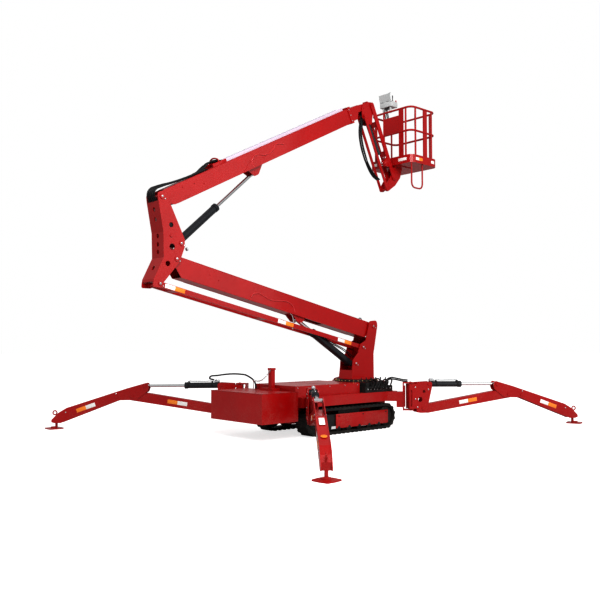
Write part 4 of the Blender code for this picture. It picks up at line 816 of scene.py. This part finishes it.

# %% [markdown]
# ## Booms
# Wear pads at the telescope's mouth, weld beads along the edges of both booms and of their
# doubler plates, and small service parts on the lower boom. The doubler plates' beads are a
# lighter red than the paint: a painted highlight along the plates' edges.

# %% Boom hardware
UPPER_LENGTH, UPPER_TOP, UPPER_LOW = 4.33, 0.070, -0.183
pads = [block((UPPER_LENGTH + 0.010, s * 0.060, UPPER_TOP + 0.004),
              (UPPER_LENGTH + 0.030, s * 0.100, UPPER_TOP + 0.020), 0.002) for s in BOTH]
keep(seated(joined(pads), UPPER), "mouth_pads", PAD, "upper_boom")
collar_x = UPPER_LENGTH - 0.022
spots = [turned_to((0, s, 0), (collar_x, s * 0.1325, z)) for s in BOTH for z in (0.045, -0.055, -0.155)]
spots += [turned_to((0, 0, 1), (collar_x, y, 0.0925)) for y in (-0.07, 0.07)]
keep(copies(hex_bolt(0.010), [UPPER @ place for place in spots]), "mouth_bolts", ZINC, "upper_boom")
WELD_SIDE, WELD_R = 0.119, 0.0035     # where the corner welds run, and their radius
beads = [tube([(x, s * WELD_SIDE, z) for x in (x0, 2.2, 4.26)], WELD_R, UPPER, sides=1)
         for x0, z in ((0.22, UPPER_LOW), (0.16, UPPER_TOP)) for s in BOTH]
keep(joined(beads), "upper_boom_welds", RED, "upper_boom")


PLATE_SIDE = 0.123       # where the doubler plates' welds run, from the middle of a boom


def plate_welds(outline, reach, place):
    """A raised weld along a doubler plate's upper edge, on both sides of a boom; it is kept in a lighter red,
    a painted highlight.
    """
    return joined([tube([(x, s * reach, z) for x, z in outline], 0.0085, place, sides=2) for s in BOTH])


edges = [(1.795, -0.172), (1.80, -0.075), (1.91, -0.012), (2.12, -0.070), (2.30, -0.043), (2.39, 0.010),
         (2.56, -0.030)]
# The lighter red on these beads is a painted highlight along the doubler plate's edge.
keep(plate_welds(edges, PLATE_SIDE, UPPER), "upper_plate_welds_and_highlight", WELD_HIGHLIGHT, "upper_boom")
LOWER_END = 4.233
beads = [tube([(x, s * WELD_SIDE, z) for x in (0.35, 2.2, LOWER_END - 0.35)], WELD_R, LOWER, sides=1)
         for s in BOTH for z in (0.0445, -0.2345)]
keep(joined(beads), "lower_boom_welds", RED, "lower_boom")
edges = [(1.44, -0.185), (1.50, -0.110), (1.85, -0.128), (2.22, -0.075), (2.33, -0.125), (2.38, -0.200)]
# The lighter red on these beads is a painted highlight along the doubler plate's edge.
keep(plate_welds(edges, PLATE_SIDE, LOWER), "lower_plate_welds_and_highlight", WELD_HIGHLIGHT, "lower_boom")
spots = [LOWER @ turned_to((0, s, 0), (x, s * 0.1205, z)) for s in BOTH
         for x, z in ((0.62, -0.06), (0.80, -0.10), (3.55, -0.05))]
keep(copies(hex_bolt(0.009), spots), "lower_boom_studs", RED, "lower_boom")
spots = [UPPER @ turned_to((0, s, 0), (x, s * 0.1205, z)) for s in BOTH
         for x, z in ((0.62, -0.02), (0.78, -0.08), (0.40, 0.00))]
keep(copies(hex_bolt(0.009), spots), "upper_boom_studs", RED, "upper_boom")
eye = [stepped(0.026, 0.02, [(0.008, 0.004)], 20), stepped(0.010, 0.03, [(0.002, 0.002)], 12)]
hook = joined(eye)
# Thin black discs set just inside the elbow's two holes: painted shade that fills the holes.
shade_disc = stepped(0.0355, 0.003, [(0.004, 0.0005)], 24, 0.0004)
keep(copies(shade_disc, [ELBOW @ turned_to((0, s, 0), (-0.100, s * (CHEEK_OUT - 0.009), 0.476)) for s in BOTH]),
     "elbow_hole_shade_discs", HOSE, "elbow")
keep(seated(hook, ELBOW @ turned_to((1, 0, 0.3), (0.235, -0.05, 0.155))), "elbow_fitting", GREY, "elbow")
ring_points = [(0.0, 0, 0.0), (0.035, 0, 0.03), (0.0, 0, 0.06), (-0.035, 0, 0.03)]
lift_eye = tube(ring_points, 0.008, LOWER @ Matrix.Translation((LOWER_END - 0.20, 0, 0.042)), closed=True)
keep(lift_eye, "lower_boom_eye", DARK_IRON, "lower_boom")
tongue = tube([(2.30, -0.10, -0.232), (2.36, -0.10, -0.27), (2.40, -0.10, -0.36), (2.41, -0.10, -0.44)],
              0.008, LOWER)
knob = stepped(0.014, 0.010, [(-0.006, 0.006), (0.0, 0.014), (0.006, 0.006)], 16, 0.002)
seated(knob, LOWER @ Matrix.Translation((2.41, -0.10, -0.47)))
keep(joined([tongue, knob]), "lower_boom_lever", ZINC, "lower_boom")

# %% [markdown]
# ## Cage
# The control box stands on two posts over the rail: tray, open lid, console and joysticks.

# %% Cage fittings
CAGE_BACK, CAGE_FRONT, CAGE_HALF, CAGE_FLOOR = 1.69, 2.46, 0.52, 4.765
rail_top = CAGE_FLOOR + 1.066
box_top = rail_top + 0.185
BACK, FRONT, RIGHT, LEFT = CAGE_BACK + 0.012, CAGE_BACK + 0.205, -0.02, 0.255
LID_TILT = math.radians(-14)
shell = panelled((BACK, RIGHT, box_top - 0.100), (FRONT, LEFT, box_top), 2, 0.010, -0.004, 0.006)
lid = panelled((-0.005, RIGHT, 0.0), (0.005, LEFT, 0.146), 1, 0.012, -0.003, 0.002)
seated(lid, Matrix.Translation((BACK + 0.004, 0, box_top - 0.002)) @ Matrix.Rotation(LID_TILT, 4, "Y"))
posts = [block((BACK + 0.03, y - 0.015, rail_top - 0.030), (BACK + 0.06, y + 0.015, box_top - 0.098), 0.003)
         for y in (0.03, 0.20)]
box_piece = keep(seated(joined([shell, lid, *posts]), CHASSIS), "control_station", GREY, "cage")
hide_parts("control_box")
wires = [tube([(BACK + 0.05, y, box_top - 0.10), (BACK + 0.02, y + 0.02, rail_top + 0.03),
               (BACK + 0.055, y + 0.03, rail_top - 0.06), (BACK + 0.075, y + 0.02, rail_top - 0.20)],
              0.009, CHASSIS) for y in (0.07, 0.10, 0.14)]
keep(joined(wires), "control_wires", HOSE, "cage")
console = panelled((BACK + 0.022, RIGHT + 0.012, box_top - 0.006),
                   (FRONT - 0.010, LEFT - 0.012, box_top + 0.008), 2, 0.012, -0.004, 0.004)
keep(seated(console, CHASSIS), "console_face", GREY, "cage")
sticks = []
for y in (0.04, 0.12, 0.20):
    boot = stepped(0.026, 0.008, [(0.004, 0.010), (0.005, 0.008), (0.006, 0.004)], 20, 0.0015)
    rod_ = stepped(0.007, 0.075, [(0, 0)], 10, 0.0005)
    grip = stepped(0.009, 0.006, [(-0.007, 0.006), (0.0, 0.030), (0.006, 0.008)], 14, 0.002)
    seated(rod_, Matrix.Translation((0, 0, 0.02)))
    seated(grip, Matrix.Translation((0, 0, 0.085)))
    stick = joined([boot, rod_, grip])
    sticks.append(seated(stick, CHASSIS @ Matrix.Translation((CAGE_BACK + 0.13, y, box_top + 0.004))))
keep(joined(sticks), "joysticks", DARK_IRON, "cage")
button = stepped(0.012, 0.016, [(-0.012, 0.008), (0.0, 0.008), (0.006, 0.004)], 20, 0.002)
button_place = CHASSIS @ Matrix.Translation((CAGE_BACK + 0.180, 0.00, box_top + 0.004))
keep(seated(button, button_place), "stop_button", RED, "cage")
bar = tube([(CAGE_BACK + x, y, z) for x, y, z in ((0.16, -0.475, 5.40), (0.20, -0.44, 5.52),
                                                  (0.20, -0.44, 5.66), (0.16, -0.475, 5.76))], 0.011, CHASSIS)
keep(bar, "entry_bar", BLACK, "cage")
CAGE_SIDE = 0.5205       # where the tape lies on the toe boards, from the middle of the cage
low, high = CAGE_FLOOR + 0.050, CAGE_FLOOR + 0.105


def side_tape(s, x0, x1):
    """A strip of tape on the toe board of side s, from x0 to x1."""
    return block((x0, s * CAGE_SIDE - TAPE, low), (x1, s * CAGE_SIDE + TAPE, high), 0.0004)


for s in BOTH:
    white = [side_tape(s, CAGE_BACK + 0.12, CAGE_BACK + 0.22),
             side_tape(s, CAGE_FRONT - 0.20, CAGE_FRONT - 0.11)]
    y0, y1 = sorted((s * 0.20, s * 0.40))
    white.append(block((CAGE_BACK - TAPE, y0, low), (CAGE_BACK + TAPE, y1, high), 0.0004))
    side = "near" if s < 0 else "far"
    keep(seated(joined(white), CHASSIS), "cage_white_tape_" + side, WHITE_TAPE, "cage")
    orange = side_tape(s, CAGE_BACK + 0.22, CAGE_BACK + 0.32)
    keep(seated(orange, CHASSIS), "cage_orange_tape_" + side, ORANGE_TAPE, "cage")
tread_middle = ((CAGE_BACK + CAGE_FRONT) / 2, 0, CAGE_FLOOR + 0.0145)
tread = begin("grid", x_subdivisions=26, y_subdivisions=34, size=1, location=tread_middle)
tread.scale = (CAGE_FRONT - CAGE_BACK - 0.14, 2 * CAGE_HALF - 0.14, 1)
in_place(tread)
pick(tread, lambda c, n: True)
bpy.ops.mesh.inset(thickness=0.006, depth=0.003, use_individual=True)
leave(tread)
wall = tread.modifiers.new("thickness", "SOLIDIFY")
wall.thickness = 0.0015
bpy.ops.object.modifier_apply(modifier=wall.name)
keep(seated(tread, CHASSIS), "cage_tread", ZINC, "cage")
knuckles = [tube([(BACK, y, box_top + 0.004), (BACK, y + 0.06, box_top + 0.004)], 0.008, CHASSIS)
            for y in (0.02, 0.16)]
keep(joined(knuckles), "lid_hinge", ZINC, "cage")

# %% Legs and feet
CORNER_X, CORNER_Y = 0.86, 0.50      # the place on the chassis that a hinge web points away from
SLEEVE_FOOT = 0.348
for leg, place in LEGS.items():
    ring_ = tube([(0.0, 0, 0.0), (0.034, 0, 0.034), (0.0, 0, 0.068), (-0.034, 0, 0.034)], 0.010,
                 place @ Matrix.Translation((3.17, 0, 0.236)), closed=True)
    keep(ring_, leg + "_foot_eye", RED, "leg_" + leg + "_arm")
    bolts = [place @ turned_to((0, s, 0), (r, s * 0.0690, z))
             for s in BOTH for r, z in ((2.96, 0.285), (2.10, 0.60))]
    keep(copies(hex_bolt(0.010), bolts), leg + "_arm_bolts", ZINC, "leg_" + leg + "_arm")
near = LEGS["rear_near"]
OUTER_FALL = math.radians(-17.9)


def on_outer_arm(r):
    """A place on the near leg's outer top face, tilted with it."""
    return (near @ Matrix.Translation((r, 0, 0.590 - (r - 2.20) * 0.3209 + 0.0105))
            @ Matrix.Rotation(-OUTER_FALL, 4, "Y"))


patch = seated(block((-0.10, -0.036, 0.0), (0.10, 0.036, 0.0024), 0.0005), on_outer_arm(2.36))
keep(patch, "near_leg_patch", WHITE_TAPE, "leg_rear_near_arm")
disc = seated(stepped(0.040, 0.0016, [(0.006, 0.0005)], 32, 0.0003), on_outer_arm(2.75))
keep(disc, "near_leg_disc", ORANGE_TAPE, "leg_rear_near_arm")
for leg, place in LEGS.items():
    sleeve = stepped(0.058, 0.395, [(0.006, 0.004)], 28, 0.003)
    seated(sleeve, place @ Matrix.Translation((0, 0, SLEEVE_FOOT)))
    keep(sleeve, leg + "_hinge_sleeve", RED, "leg_" + leg + "_bracket")
    hinge = (CHASSIS.inverted() @ place).translation
    corner = Vector((math.copysign(CORNER_X, hinge.x), math.copysign(CORNER_Y, hinge.y), 0))
    turn = Matrix.Rotation(math.atan2(hinge.y - corner.y, hinge.x - corner.x), 4, "Z")
    web = block((-0.114, -0.010, 0.362), (-0.088, 0.010, 0.725), 0.003)
    seated(web, CHASSIS @ Matrix.Translation((hinge.x, hinge.y, 0)) @ turn)
    keep(web, leg + "_hinge_web", RED, "chassis")
print("added", len(added), "pieces")
